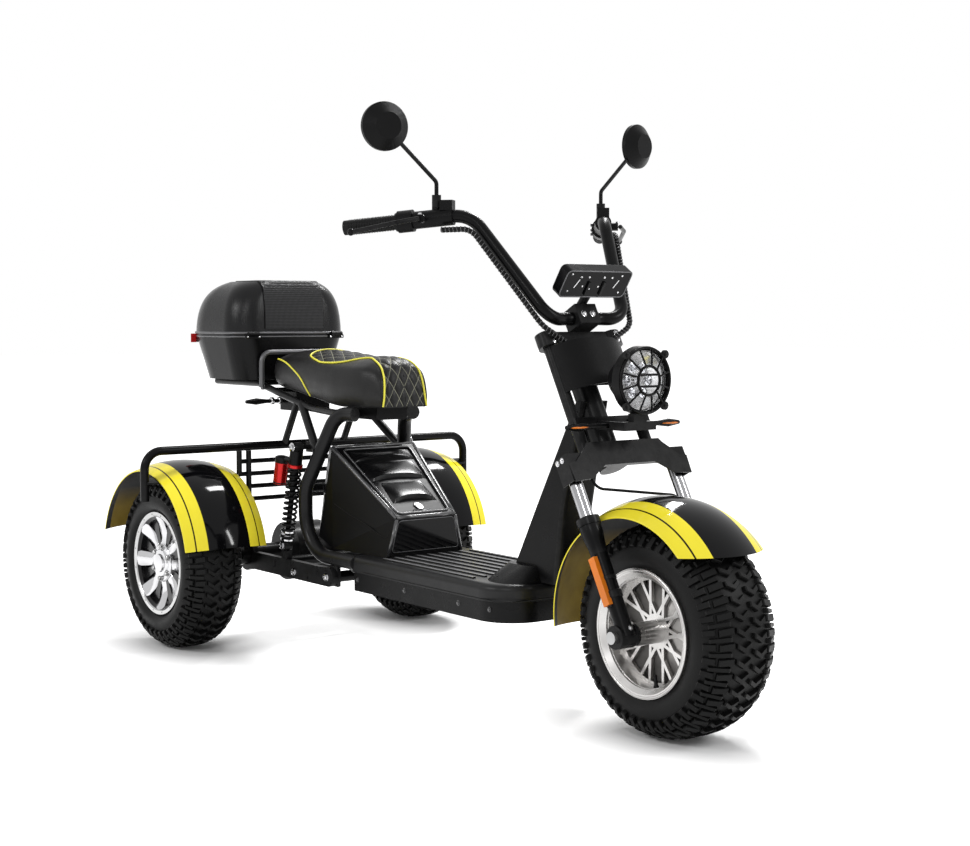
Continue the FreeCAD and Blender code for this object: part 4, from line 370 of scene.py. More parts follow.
def quilted_leather():
    """Grained leather; sewn lines follow the quilt lines stored on the mesh."""
    p = Paint("quilted_leather")
    quilt = p.put("Attribute", attribute_name="quilt").outputs["Vector"]
    u, v, inside = p.axes(quilt)

    def near(w, other):
        off = p.math("ABSOLUTE", p.less(p.math("FRACT", p.plus(w, 0.5)), 0.5))
        line = p.span(off, 0.022, 0.04, 1, 0)
        dash = p.span(p.math("SINE", p.times(other, 62)), -0.9, -0.4, 0.35, 1)
        return p.times(line, dash)

    thread = p.times(p.math("MAXIMUM", near(u, v), near(v, u)),
                    p.span(inside, 0.45, 0.55, 0, 1))
    hide = p.mix(p.noise(16, 5), (0.0048, 0.0047, 0.0047), (0.008, 0.0078, 0.0078))
    color = p.mix(thread, hide, (0.27, 0.265, 0.2))
    relief = p.bump(p.cells(620), 0.35, 0.0006, p.bump(p.noise(60, 4), 0.25, 0.0012))
    relief = p.bump(thread, 0.5, 0.0008, relief)
    gloss = p.plus(p.span(p.noise(30), 0.3, 0.7, 0.3, 0.42),
                   p.times(thread, 0.25))
    return p.give(Base_Color=color, Roughness=gloss, Normal=relief, Specular_IOR_Level=0.22)


def dress(material, *names):
    for name in names:
        for material_slot in NODES[name].material_slots:
            material_slot.material = material


dress(SATIN, "yoke", "top_clamp", "fork_upper_tubes", "neck", "handlebar", "bar_clamp",
      "swing_arm", "rear_hoop", "rear_slats", "mirror_stalks", "lamp_bracket", "headlight_guard",
      "fork_sliders", "shock_springs", "brake_levers", "rear_axle", "motor_housing",
      "shock_dampers")
dress(GREYSATIN, "main_frame")
dress(DECK, "deck_pan", "neck_collar")
dress(PLASTIC, "switch_pods", "lever_perches", "front_shroud", "seat_base", "case_hinges",
      "tail_block", "front_signals", "rear_signals", "mirror_heads", "headlight_shell",
      "control_cables", "brake_hose")
dress(SCREEN, "display")
dress(CASE, "case_base")
dress(lid_paint(), "case_lid")
dress(deck_paint(), "deck_board")
dress(BOX, "battery_box", "battery_lid")
dress(TUBE, "fork_stanchions")
dress(STEEL, "front_axle", "lid_lock")
dress(GREYBAR, "grab_loop")
dress(RED, "shock_reservoirs")
dress(ALLOY, "front_rim")
dress(RUBBER, "grips")
dress(REDLENS, "case_reflector")
dress(AMBER, "fork_reflectors")
dress(GLASS, "headlight_lens")
dress(BATTERY, "battery")
dress(fender_paint("front_fender_paint", 1.438 - MIDDLE, 0.234, 0, 0.117, 0.06),
      "front_fender")
dress(fender_paint("right_fender_paint", -0.014 - MIDDLE, 0.222, -0.3505, 0.1135, 0.058),
      "rear_fender_right")
dress(fender_paint("left_fender_paint", -0.014 - MIDDLE, 0.222, 0.3505, 0.1135, 0.058),
      "rear_fender_left")
dress(rear_rim_paint(), "rear_rim_left", "rear_rim_right")


# Mesh helpers

def piece(name, verts, faces, body, material):
    mesh = bpy.data.meshes.new(name)
    mesh.from_pydata([tuple(v) for v in verts], [], faces)
    mesh.validate()
    thing = place(name, mesh)
    mesh.materials.append(material)
    for face in mesh.polygons:
        face.use_smooth = True
    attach(thing, body)
    return thing


def frame_on(axis):
    axis = Vector(axis).normalized()
    side = axis.cross(UP)
    if side.length < 0.01:
        side = FORWARD.copy()
    side.normalize()
    return axis, side, axis.cross(side)


class Heap:
    """Vertices and faces of many small forms gathered into one piece."""

    def __init__(self):
        self.verts, self.faces = [], []

    def ring_stack(self, rings, closed=True, caps=(True, True)):
        first = len(self.verts)
        n = len(rings[0])
        for ring in rings:
            self.verts.extend(ring)
        for i in range(len(rings) - 1):
            for j in range(n if closed else n - 1):
                k = (j + 1) % n
                a = first + i * n
                self.faces.append((a + j, a + k, a + n + k, a + n + j))
        if caps[0]:
            self.faces.append(tuple(first + j for j in reversed(range(n))))
        if caps[1]:
            last = first + (len(rings) - 1) * n
            self.faces.append(tuple(last + j for j in range(n)))

    def turned(self, centre, axis, profile, sides=24, caps=(True, True)):
        """Rings of (along, radius) round an axis."""
        axis, side, up = frame_on(axis)
        rings = []
        for along, radius in profile:
            rings.append([centre + axis * along + (side * cos(a) + up * sin(a)) * radius
                          for a in circle(sides)])
        self.ring_stack(rings, caps=caps)

    def bolt(self, centre, axis, radius, height, socket=True):
        """A domed hexagon head with a washer under it."""
        self.turned(centre, axis, [(-0.0005, radius * 1.35), (height * 0.15, radius * 1.35),
                                   (height * 0.2, radius * 1.2)], 20)
        self.turned(centre, axis, [(height * 0.1, radius), (height * 0.85, radius),
                                   (height, radius * 0.82)], 6)
        if socket:
            self.turned(centre, axis, [(height * 0.99, radius * 0.5),
                                       (height * 1.12, radius * 0.42)], 12)

    def sweep(self, line, radius, sides=8, closed=False):
        """A round cord along a line."""
        count = len(line)
        rings = []
        up = None
        for i, point in enumerate(line):
            after = line[(i + 1) % count] if closed else line[min(i + 1, count - 1)]
            before = line[i - 1] if closed else line[max(i - 1, 0)]
            way = (after - before).normalized()
            if up is None:
                up = frame_on(way)[1]
            up = (up - way * up.dot(way)).normalized()
            side = way.cross(up)
            rings.append([point + (up * cos(a) + side * sin(a)) * radius
                          for a in circle(sides)])
        if closed:
            rings.append(rings[0])
        self.ring_stack(rings, caps=(not closed, not closed))

    def plate(self, corners, thick):
        """A flat form: the corners in turn, and the same moved by a vector."""
        self.ring_stack([corners, [c + thick for c in corners]])

    def make(self, name, body, material, slot):
        return piece(name, self.verts, self.faces, body, material)


def soften(thing, width):
    bevel = thing.modifiers.new("edge", "BEVEL")
    bevel.width = width
    bevel.segments = 2
    bevel.limit_method = "ANGLE"
    bevel.angle_limit = radians(35)


def by_angle(thing, degrees=40):
    thing.data.set_sharp_from_angle(angle=radians(degrees))
    return thing


def facing_out(thing):
    bm = bmesh.new()
    bm.from_mesh(thing.data)
    bmesh.ops.recalc_face_normals(bm, faces=bm.faces)
    bm.to_mesh(thing.data)
    bm.free()
    return thing


# Tyres: a round carcass and rows of moulded blocks

FRONT_SECTION = [(0, 213), (28, 212), (52, 207.5), (70, 199), (82, 187), (90, 172), (93.5, 157),
                 (93, 145), (90, 137), (88.6, 133), (88.6, 119.6)]
REAR_SECTION = [(0, 213), (24, 212), (42, 207.5), (56, 199), (66, 187), (73, 172), (77, 157),
                (75, 145), (68, 137), (62.6, 133), (62.6, 119.6)]


def curve(a, b, c, d, t):
    """Catmull-Rom value a share t of the way from b to c."""
    return 0.5 * (2 * b + (c - a) * t + (2 * a - 5 * b + 4 * c - d) * t * t
                  + (3 * b - a - 3 * c + d) * t ** 3)


def smooth_line(points, steps):
    """Catmull-Rom points through a list of pairs."""
    out = []
    ext = [points[0]] + list(points) + [points[-1]]
    for i in range(1, len(ext) - 2):
        for k in range(steps):
            out.append(tuple(curve(*four, k / steps) for four in zip(*ext[i - 1:i + 3])))
    out.append(tuple(points[-1]))
    return out


class Section:
    """Half tyre section by distance from the middle along its skin."""

    def __init__(self, points):
        self.line = smooth_line(points[:-1], 6) + [points[-1]]
        self.runs = [0]
        for a, b in zip(self.line, self.line[1:]):
            self.runs.append(self.runs[-1] + hypot(b[0] - a[0], b[1] - a[1]))

    def at(self, s, height):
        side = -1 if s < 0 else 1
        s = abs(s)
        i = 0
        while i < len(self.runs) - 2 and self.runs[i + 1] < s:
            i += 1
        a, b = self.line[i], self.line[i + 1]
        t = (s - self.runs[i]) / (self.runs[i + 1] - self.runs[i])
        t = max(t, 0)
        run = hypot(b[0] - a[0], b[1] - a[1])
        nx, nr = -(b[1] - a[1]) / run, (b[0] - a[0]) / run
        if s < 0.01:
            nx, nr = 0, 1
        return (side * (a[0] + (b[0] - a[0]) * t + nx * height),
                a[1] + (b[1] - a[1]) * t + nr * height)


def tyre(name, body, x, y, points, rows, chevrons, lugs):
    heap = Heap()
    skin = Section(points)
    half = smooth_line(points[:-1], 3) + [points[-1]]
    outline = [(-a, r) for a, r in reversed(half)] + half[1:]
    rings = [[P(x + r * sin(a), y + w, AXLE_HEIGHT + r * cos(a)) for w, r in outline]
             for a in circle(96)]
    rings.append(rings[0])
    heap.ring_stack(rings, closed=False, caps=(False, False))

    def block(corners, turn_at, height):
        rings = []
        count = len(corners)
        cs = sum(c[0] for c in corners) / count
        cv = sum(c[1] for c in corners) / count
        for share, up in ((1.1, -2), (1, height * 0.75), (0.86, height)):
            ring = []
            for s, v in corners:
                w, r = skin.at(cs + (s - cs) * share, up)
                a = turn_at + (cv + (v - cv) * share) / AXLE_HEIGHT
                ring.append(P(x + r * sin(a), y + w, AXLE_HEIGHT + r * cos(a)))
            rings.append(ring)
        heap.ring_stack(rings, caps=(False, True))

    pitch = 2 * pi * AXLE_HEIGHT / rows
    for a in circle(rows):
        for s, offset, wide in chevrons:
            w = wide / 2
            shape = [(-w, -0.23), (0, 0.12), (w, -0.23), (w, 0.1), (0, 0.46), (-w, 0.1)]
            block([(s + u, offset * pitch + v * pitch) for u, v in shape], a, 9)
        for s0, s1, v0, v1, skew in lugs:
            for side in SIDES:
                shift = 0 if side < 0 else 0.5
                corners = [(side * s0, (v0 + shift) * pitch), (side * s0, (v1 + shift) * pitch),
                           (side * s1, (v1 + shift + skew) * pitch),
                           (side * s1, (v0 + shift + skew) * pitch)]
                if side > 0:
                    corners.reverse()
                block(corners, a, 8.6)
    thing = heap.make(name + "_tread", body, RUBBER, "tyre_black")
    by_angle(facing_out(thing), 30)
    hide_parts(name)


tyre("front_tyre", "front_wheel", WHEELBASE, 0, FRONT_SECTION, 44,
     [(-22, 0, 34), (22, 0.5, 34)],
     [(44, 74, -0.3, 0.16, 0.1), (80, 104, -0.26, 0.2, 0), (50, 92, 0.32, 0.62, 0.06)])
for side, hand in ((-1, "right"), (1, "left")):
    tyre("rear_tyre_" + hand, "rear_wheel_" + hand, 0, side * HALF_TRACK, REAR_SECTION, 44,
         [(-19, 0, 30), (19, 0.5, 30)],
         [(39, 62, -0.3, 0.16, 0.08), (67, 90, -0.26, 0.2, 0), (44, 78, 0.32, 0.62, 0)])


# Saddle in millimetres: its back end, length, underside, thickness and half width

PAD_BACK, PAD_LENGTH, PAD_LOW, PAD_THICK, PAD_HALF = -8, 600, 631, 137, 110
# Share of the way over its crest, place along it, then low, high and wide shares
SADDLE = [
    (0, 0, 0.46, 0.78, 0.6), (0.045, 0.025, 0.34, 0.92, 0.78), (0.08, 0.06, 0.3, 0.955, 0.83),
    (0.2, 0.19, 0.23, 1, 0.9), (0.39, 0.38, 0.12, 0.98, 0.95), (0.59, 0.58, 0, 0.91, 0.95),
    (0.757, 0.74, 0, 0.905, 0.83), (0.79, 0.771, 0, 0.875, 0.765),
    (0.824, 0.801, 0, 0.805, 0.71), (0.858, 0.8205, 0, 0.69, 0.668),
    (0.897, 0.8315, 0, 0.535, 0.645), (0.949, 0.838, 0, 0.29, 0.628),
    (1, 0.8405, 0, 0.03, 0.615),
]
# Piping on the near side, as places along the saddle and up its section
PATCH_LINE = [
    (1, 0.44), (0.985, 0.49), (0.96, 0.54), (0.925, 0.58), (0.885, 0.62), (0.85, 0.655),
    (0.815, 0.7), (0.775, 0.745), (0.705, 0.822), (0.662, 0.825), (0.622, 0.785),
    (0.581, 0.708), (0.518, 0.625),
    (0.442, 0.575), (0.4, 0.592), (0.358, 0.625), (0.3, 0.69), (0.276, 0.79),
    (0.268, 0.89), (0.266, 1),
]
FLANK_LINE = [(0.004, 0.6), (0.1, 0.52), (0.204, 0.417), (0.296, 0.3), (0.338, 0.158),
              (0.352, 0)]


def along_rows(rows, t):
    """Smooth values between rows that start with their place."""
    i = 0
    while i < len(rows) - 2 and rows[i + 1][0] < t:
        i += 1
    b, c = rows[i], rows[i + 1]
    a = rows[i - 1] if i else None
    d = rows[i + 2] if i + 2 < len(rows) else None
    h = c[0] - b[0]
    u = (t - b[0]) / h
    out = []
    for k in range(1, len(b)):
        slope = (c[k] - b[k]) / h
        m0 = (slope + (b[k] - a[k]) / (b[0] - a[0])) / 2 if a else slope
        m1 = (slope + (d[k] - c[k]) / (d[0] - c[0])) / 2 if d else slope
        out.append((2 * u ** 3 - 3 * u ** 2 + 1) * b[k] + (u ** 3 - 2 * u ** 2 + u) * h * m0
                   + (3 * u ** 2 - 2 * u ** 3) * c[k] + (u ** 3 - u ** 2) * h * m1)
    return out


def saddle_point(a, v):
    """A place on the pad: v is 0 at the right lower edge, 1 on top, 2 at the left."""
    along, low, high, wide = along_rows(SADDLE, a)
    z0, z1, half = PAD_LOW + PAD_THICK * low, PAD_LOW + PAD_THICK * high, PAD_HALF * wide
    mid = z0 + (z1 - z0) * 0.45
    points = [(half * 0.86, z0), (half * 0.97, z0 + (mid - z0) * 0.45), (half, mid),
              (half * 0.93, mid + (z1 - mid) * 0.5), (half * 0.72, z1 - (z1 - z0) * 0.14),
              (half * 0.38, z1 - (z1 - z0) * 0.035), (0, z1)]
    t = min(v, 2 - v) * 6
    i = min(int(t), 5)
    u = t - i
    p0, p1, p2 = points[max(i - 1, 0)], points[i], points[i + 1]
    p3 = points[i + 2] if i < 5 else (-points[5][0], points[5][1])
    w, z = (curve(*four, u) for four in zip(p0, p1, p2, p3))
    return V(PAD_BACK + PAD_LENGTH * along, -w if v <= 1 else w, z)


def saddle_normal(a, v):
    e = 0.004
    da = saddle_point(min(a + e, 1), v) - saddle_point(max(a - e, 0), v)
    dv = saddle_point(a, min(v + e, 2)) - saddle_point(a, max(v - e, 0))
    normal = da.cross(dv)
    return normal.normalized() if normal.length > 1e-6 else UP


def in_loop(x, y, loop):
    inside = False
    for (x0, y0), (x1, y1) in zip(loop, loop[1:] + loop[:1]):
        if (y0 > y) != (y1 > y) and x < (x1 - x0) * (y - y0) / (y1 - y0) + x0:
            inside = not inside
    return inside


def saddle():
    rows, columns = 200, 128
    patch = smooth_line(PATCH_LINE, 4)
    loop = patch + [(1.01, 1), (1.01, 0.48)]
    edge = np.array([saddle_point(a, v) for a, v in patch])
    edge = np.concatenate([edge, edge * np.array([1, -1, 1])])
    verts, quilt, faces = [], [], []
    crest = [saddle_point(i / rows, 1) for i in range(rows + 1)]
    run = 0
    for i in range(rows + 1):
        a = i / rows
        if i:
            run += (crest[i] - crest[i - 1]).length
        ring = [saddle_point(a, 2 * j / columns) for j in range(columns + 1)]
        girth = [0]
        for p, q in zip(ring, ring[1:]):
            girth.append(girth[-1] + (q - p).length)
        middle = girth[columns // 2]
        for j, point in enumerate(ring):
            v = 2 * j / columns
            across = girth[j] - middle
            u1 = run / 56 + across / 31
            u2 = run / 56 - across / 31
            inside = in_loop(a, min(v, 2 - v), loop)
            gap = float(np.sqrt(((edge - np.array(point)) ** 2).sum(axis=1).min()))
            share = min(gap / 9, 1)
            if inside:
                puff = (abs(sin(pi * u1)) * abs(sin(pi * u2))) ** 0.5
                rise = share * (2.8 * puff - 1.4) - (1 - share) * 0.8
            else:
                rise = -(1 - share) * 1.4
            verts.append(P(*(point + saddle_normal(a, v) * rise)))
            quilt.append((u1, u2, 1 if inside and gap > 1.5 else 0))
    step = columns + 1
    for i in range(rows):
        for j in range(columns):
            k = i * step + j
            faces.append((k, k + 1, k + step + 1, k + step))
        faces.append((i * step + columns, i * step, (i + 1) * step, (i + 1) * step + columns))
    faces.append(tuple(range(step)))
    faces.append(tuple(reversed(range(rows * step, rows * step + step))))
    pad = piece("saddle_pad", verts, faces, "chassis", quilted_leather())
    layer = pad.data.attributes.new("quilt", "FLOAT_VECTOR", "POINT")
    layer.data.foreach_set("vector", [c for triple in quilt for c in triple])
    by_angle(facing_out(pad), 50)
    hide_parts("seat")
    cords = Heap()
    for line in (patch, smooth_line(FLANK_LINE, 8)):
        near = [saddle_point(a, v) + saddle_normal(a, v) * 0.8 for a, v in line]
        far = [V(q.x, -q.y, q.z) for q in near]
        if line is patch:
            cords.sweep([P(*q) for q in near + far[::-1][1:]], 0.0024, 8)
        else:
            cords.sweep([P(*q) for q in near], 0.0022, 8)
            cords.sweep([P(*q) for q in far], 0.0022, 8)
    cords.make("saddle_piping", "chassis", YELLOW, "leather_black")
    ends = [saddle_point(0, 2 * j / 24) for j in range(25)]
    hem = Heap()
    for side in (0, 2):
        line = [saddle_point(i / 40, side) for i in range(41)]
        hem.sweep([P(q.x, q.y, q.z + 1.5) for q in line], 0.0022, 6)
    hem.sweep([P(q.x - 0.5, q.y, q.z) for q in ends], 0.0022, 6)
    hem.make("saddle_hem", "chassis", PLASTIC, "leather_black")


saddle()


# Battery box: places on its sloping lid, s down the slope, h above it

def L(s, y, h=0):
    return P(356 + 0.8254 * s + 0.5646 * h, y, 528 - 0.5646 * s + 0.8254 * h)


def lid_half(s):
    return 125 - 37 * s / 280


def rounded(corners, radius, steps=5):
    """The corners of a flat loop, each turned into a short arc."""
    out = []
    count = len(corners)
    for i, c in enumerate(corners):
        a = c + (corners[i - 1] - c).normalized() * radius
        b = c + (corners[(i + 1) % count] - c).normalized() * radius
        for k in range(steps + 1):
            t = k / steps
            out.append(a * (1 - t) ** 2 + c * 2 * t * (1 - t) + b * t * t)
    return out


def box_trim():
    shine = Heap()
    # These cords take the lighter EDGE grey, a painted highlight along the lid edges, besides the
    # gloss they catch
    frame_line = rounded([L(266, -76, 0.6), L(266, 76, 0.6), L(12, 100, 0.6), L(12, -100, 0.6)],
                         0.012)
    shine.sweep(frame_line, 0.0028, 8, closed=True)
    for side in SIDES:
        rim = [L(s, side * (lid_half(s) - 3.5), -2.8) for s in (-1, 60, 120, 180, 240, 278)]
        shine.sweep(rim, 0.0058, 10)
        shine.sweep([P(581, side * 108.5, 277), P(584, side * 97, 322), P(586.4, side * 87, 366)],
                    0.0048, 10)
    shine.sweep([L(277, y, -3) for y in (-86, -40, 0, 40, 86)], 0.0056, 10)
    shine.sweep([L(-2, y, -3) for y in (-121, -60, 0, 60, 121)], 0.0055, 10)
    shine.make("box_edges", "chassis", EDGE, "gloss_black")
    panel = Heap()
    corners = [P(582.2, -100, 286), P(582.2, 100, 286), P(586.6, 82, 362), P(586.6, -82, 362)]
    panel.plate(rounded(corners, 0.01), V(0.0022, 0, -0.0001))
    soften(by_angle(panel.make("box_front_panel", "chassis", GLOSS, "gloss_black")), 0.0008)
    border = Heap()
    border.sweep(rounded([c + FORWARD * 0.0012 for c in corners], 0.01), 0.0012, 6, closed=True)
    border.make("box_panel_frame", "chassis", GREYBAR, "gloss_black")
    shells = Heap()
    for s0, s1, high, wide in ((22, 62, 9, 92), (66, 140, 11, 86), (146, 224, 12, 66)):
        steps, cells = 14, 20
        rings = []
        for i in range(steps + 1):
            share = i / steps
            ring = []
            for j in range(cells + 1):
                side = -1 + 2 * j / cells
                bow = 14 * (1 - side * side)
                s = s0 + (s1 - s0) * share - bow * share * 0.9
                rise = sin(share * pi * 0.5) * high if share < 0.93 else (1 - share) / 0.07 * high
                rise *= max(1 - side ** 4, 0)
                ring.append(L(s, side * wide * (0.9 + 0.1 * share), rise - 2.3))
            rings.append(ring)
        shells.ring_stack(rings, closed=False, caps=(False, False))
    by_angle(shells.make("lid_shells", "battery_lid", SHELL, "gloss_black"), 45)
    lock = Heap()
    lock.turned(L(238, 0), V(0.5646, 0, 0.8254),
                [(-0.001, 0.0115), (0.0006, 0.0115), (0.0012, 0.0104)], 24)
    lock.make("lock_bezel", "battery_lid", CHROME, "chrome")
    plate = Heap()
    plate.plate(rounded([L(262, -24, -2.4), L(262, 24, -2.4), L(253, 24, -2.4),
                         L(253, -24, -2.4)], 0.002), V(0.0008, 0, 0.0012))
    plate.make("lock_plate", "battery_lid", GREYBAR, "chrome")
    seam = Heap()
    for side in SIDES:
        line = [(303, 120.6, 440), (313, 121.2, 413), (338, 124.4, 396), (369, 124.4, 387),
                (417, 116.9, 367), (480, 107.3, 347), (526, 103.2, 329), (559, 102, 321),
                (568, 100, 325), (574, 96.6, 338), (580, 90, 362)]
        line = [(x, side * y, z) for x, y, z in line]
        seam.sweep([P(*q) for q in smooth_line(line, 4)], 0.0011, 6)
    seam.make("box_side_seams", "chassis", RUBBER, "gloss_black")
    screws = Heap()
    for side in SIDES:
        screws.bolt(P(322, side * 124.5, 404), V(0, side, 0.05), 0.0035, 0.002, False)
    by_angle(screws.make("box_screws", "chassis", CHROME, "chrome"))


box_trim()


# Rear wheels: thick bright bars over the black disc, centre caps and small studs

def wheel_face(name, body, side):
    bars, studs = Heap(), Heap()
    mid = P(0, 0, AXLE_HEIGHT)
    for a in circle(8):
        spoke = V(cos(a), 0, sin(a))
        tangent = V(-sin(a), 0, cos(a))
        rings = []
        for r, y, half in ((0.03, 0.4205, 0.011), (0.048, 0.4165, 0.0145),
                           (0.066, 0.4145, 0.0168), (0.086, 0.417, 0.0182),
                           (0.104, 0.424, 0.0192), (0.116, 0.43, 0.0205),
                           (0.1205, 0.431, 0.0225)):
            ring = []
            for u, d in ((-1, -0.01), (-1, -0.003), (-0.82, -0.0006), (0, 0.0006),
                         (0.82, -0.0006), (1, -0.003), (1, -0.01)):
                ring.append(mid + spoke * r + tangent * (u * half) + out(side) * (y + d))
            rings.append(ring)
        bars.ring_stack(rings)
    bars.turned(mid + out(side) * 0.408, out(side),
                [(0, 0.05), (0.01, 0.049), (0.0125, 0.046), (0.0132, 0.037), (0.017, 0.034),
                 (0.0178, 0.024), (0.0222, 0.0225), (0.023, 0.017), (0.0232, 0)], 32,
                caps=(True, False))
    by_angle(bars.make(name + "_bars", body, CHROME, "chrome"), 35)
    for a in circle(6, 0.4):
        spot = mid + V(cos(a) * 0.0405, side * 0.4212, sin(a) * 0.0405)
        studs.bolt(spot, out(side), 0.0062, 0.007)
    for a in circle(16, 0.5):
        spot = mid + V(cos(a) * 0.1265, side * 0.4338, sin(a) * 0.1265)
        studs.turned(spot, out(side), [(-0.0003, 0.0024), (0.0008, 0.002), (0.001, 0.001)], 10)
    by_angle(studs.make(name + "_studs", body, STEEL, "chrome"))


wheel_face("right_wheel", "rear_wheel_right", -1)
wheel_face("left_wheel", "rear_wheel_left", 1)


# Front wheel: grey wall behind the lattice, valve and hub boots

def front_wheel_trim():
    mid = P(WHEELBASE, 0, AXLE_HEIGHT)
    wall = Heap()
    wall.turned(mid + out(-0.0405), out(1), [(0, 0.113), (0.0015, 0.113)], 64)
    wall.make("lattice_backing", "front_wheel", BACKING, "polished_alloy")
    lips = Heap()
    for side in SIDES:
        for radius, y, thick, sides in ((0.1285, 0.0938, 0.0032, 8), (0.1125, 0.08, 0.0012, 6)):
            line = [mid + V(cos(a) * radius, side * y, sin(a) * radius) for a in circle(96)]
            lips.sweep(line, thick, sides, closed=True)
    lips.make("front_rim_lips", "front_wheel", ALLOY, "polished_alloy")
    boots = Heap()
    for side in SIDES:
        boots.turned(mid + out(side) * 0.112, out(side),
                     [(0, 0.0195), (0.003, 0.0205), (0.006, 0.0175)], 24)
    a = radians(172)
    way = V(sin(a), 0, cos(a))
    foot = mid + way * 0.1135 + out(-0.064)
    boots.turned(foot, -way, [(-0.001, 0.0065), (0.004, 0.006), (0.007, 0.0042), (0.02, 0.0035),
                              (0.026, 0.0035), (0.027, 0.0026)], 12)
    by_angle(boots.make("valve_and_boots", "front_wheel", RUBBER, "black_rubber"))


front_wheel_trim()


# Fork

RAKE = radians(28.5)


def F(t, y, w=0):
    """A place t up the fork legs and w ahead of them."""
    return P(1476 - t * sin(RAKE) + w * cos(RAKE), y, 222 + t * cos(RAKE) + w * sin(RAKE))


LEG = V(-sin(RAKE), 0, cos(RAKE))
AHEAD = V(cos(RAKE), 0, sin(RAKE))


def fork_trim():
    trim = Heap()
    for side in SIDES:
        for t, profile in ((178, [(0, 0.0177), (0.012, 0.0185), (0.03, 0.0205),
                                  (0.042, 0.0228), (0.074, 0.0232), (0.079, 0.0205),
                                  (0.081, 0.0155)]),
                           (84, [(-0.002, 0.0177), (0, 0.0196), (0.012, 0.0196),
                                 (0.014, 0.0177)]),
                           (122, [(-0.001, 0.0177), (0, 0.0188), (0.006, 0.0188),
                                  (0.007, 0.0177)])):
            trim.turned(F(t, side * 142), LEG, profile, 28)
        outer = side * 159.6
        trim.plate([F(66, outer, -7), F(66, outer, 7), F(176, outer, 7), F(176, outer, -7)],
                   V(0, side * 0.0015, 0))
    by_angle(trim.make("fork_collars", "steering", SATIN, "satin_black"))
    bright = Heap()
    for side in SIDES:
        bright.bolt(P(WHEELBASE, side * 160.5, AXLE_HEIGHT), out(side), 0.0105, 0.007)
        bright.turned(P(WHEELBASE, side * 168, AXLE_HEIGHT), out(side),
                      [(0, 0.0055), (0.0035, 0.0052), (0.004, 0.003)], 16)
        bright.bolt(F(14, side * 142, 17.6), AHEAD, 0.0036, 0.003)
        for w in (-8, 8):
            bright.bolt(F(383, side * 165, w), out(side), 0.0045, 0.003)
        for t in (652, 670):
            bright.bolt(F(t, side * 90, 23), AHEAD, 0.0038, 0.003)
        bright.bolt(F(700, side * 12, 53.8), AHEAD, 0.0052, 0.0042)
        bright.bolt(F(664, side * 90, 0) + LEG * 0.014, LEG, 0.009, 0.004)
    bright.bolt(F(678, 0, -32.5), LEG, 0.013, 0.007)
    by_angle(bright.make("fork_bolts", "steering", CHROME, "chrome"))


fork_trim()


# Headlight: reflector bowl behind the lens, and a ring round it

def headlight_trim():
    bowl = Heap()
    bowl.turned(P(1368, 0, 725), -FORWARD,
                [(0.0165, 0.062), (0.02, 0.06), (0.028, 0.052), (0.036, 0.042),
                 (0.043, 0.03), (0.048, 0.018), (0.05, 0.006)], 48, caps=(False, True))
    bowl.make("lamp_reflector", "steering", REFLECTOR, "chrome")
    bulb = Heap()
    bulb.turned(P(1322, 0, 725), FORWARD,
                [(0, 0.011), (0.012, 0.011), (0.02, 0.009), (0.024, 0.004)], 20)
    for a in circle(6):
        spot = P(1338, 30 * cos(a), 725 + 30 * sin(a))
        bulb.turned(spot, FORWARD, [(-0.01, 0.006), (0.002, 0.011), (0.006, 0.0115),
                                    (0.007, 0.008), (0.003, 0)], 14)
    by_angle(bulb.make("lamp_cells", "steering", CHROME, "chrome"))
    ring = Heap()
    line = [P(1368.5, 66.8 * cos(a), 725 + 66.8 * sin(a)) for a in circle(72)]
    ring.sweep(line, 0.0026, 8, closed=True)
    for a in circle(4, 0.5):
        ring.bolt(P(1374, 75.5 * cos(a), 725 + 75.5 * sin(a)), FORWARD, 0.004, 0.003)
    by_angle(ring.make("lamp_ring", "steering", SATIN, "satin_black"))


headlight_trim()


# Display on the bar: rim, screws and slots on its underside

def D(u, y, w):
    """A place on the display: u along its tilted depth, w up its face."""
    a = radians(34)
    return P(1204 + u * cos(a) + w * sin(a), y, 932 - u * sin(a) + w * cos(a))


def display_trim():
    way = (D(1, 0, 0) - D(0, 0, 0)).normalized()
    rim = Heap()
    for u, thick in ((12, 0.0016), (-12, 0.0022)):
        line = rounded([D(u, -90, -32), D(u, 90, -32), D(u, 90, 32), D(u, -90, 32)], 0.012)
        rim.sweep(line, thick, 6, closed=True)
    rim.make("display_rims", "steering", GREYBAR, "satin_black")
    dots = Heap()
    for y, w in ((-76, 24), (-48, 17), (-26, 17), (-36, -6), (-15, -12), (16, 17), (8, -6),
                 (38, 17), (64, 22), (72, -20), (-72, -18)):
        dots.turned(D(12, y, w), way, [(-0.0002, 0.0026), (0.001, 0.0022), (0.0014, 0.0012)], 12)
    for y in (-58, 52):
        dots.sweep([D(12.2, y, -9), D(12.2, y + 8, 11)], 0.0012, 8)
    by_angle(dots.make("display_screws", "steering", CHROME, "chrome"))
    face = Heap()
    face.plate(rounded([D(-12, -80, -24), D(-12, -80, 24), D(-12, 80, 24), D(-12, 80, -24)], 0.008),
               way * -0.0008)
    face.make("display_glass", "steering", SCREEN, "screen")
    bracket = Heap()
    for side in SIDES:
        bracket.plate([D(12, side * 18, -26), D(12, side * 24, -26), D(12, side * 24, 6),
                       D(12, side * 18, 6)], way * 0.004)
    by_angle(bracket.make("display_bracket", "steering", SATIN, "satin_black"))


display_trim()


# Cable wraps

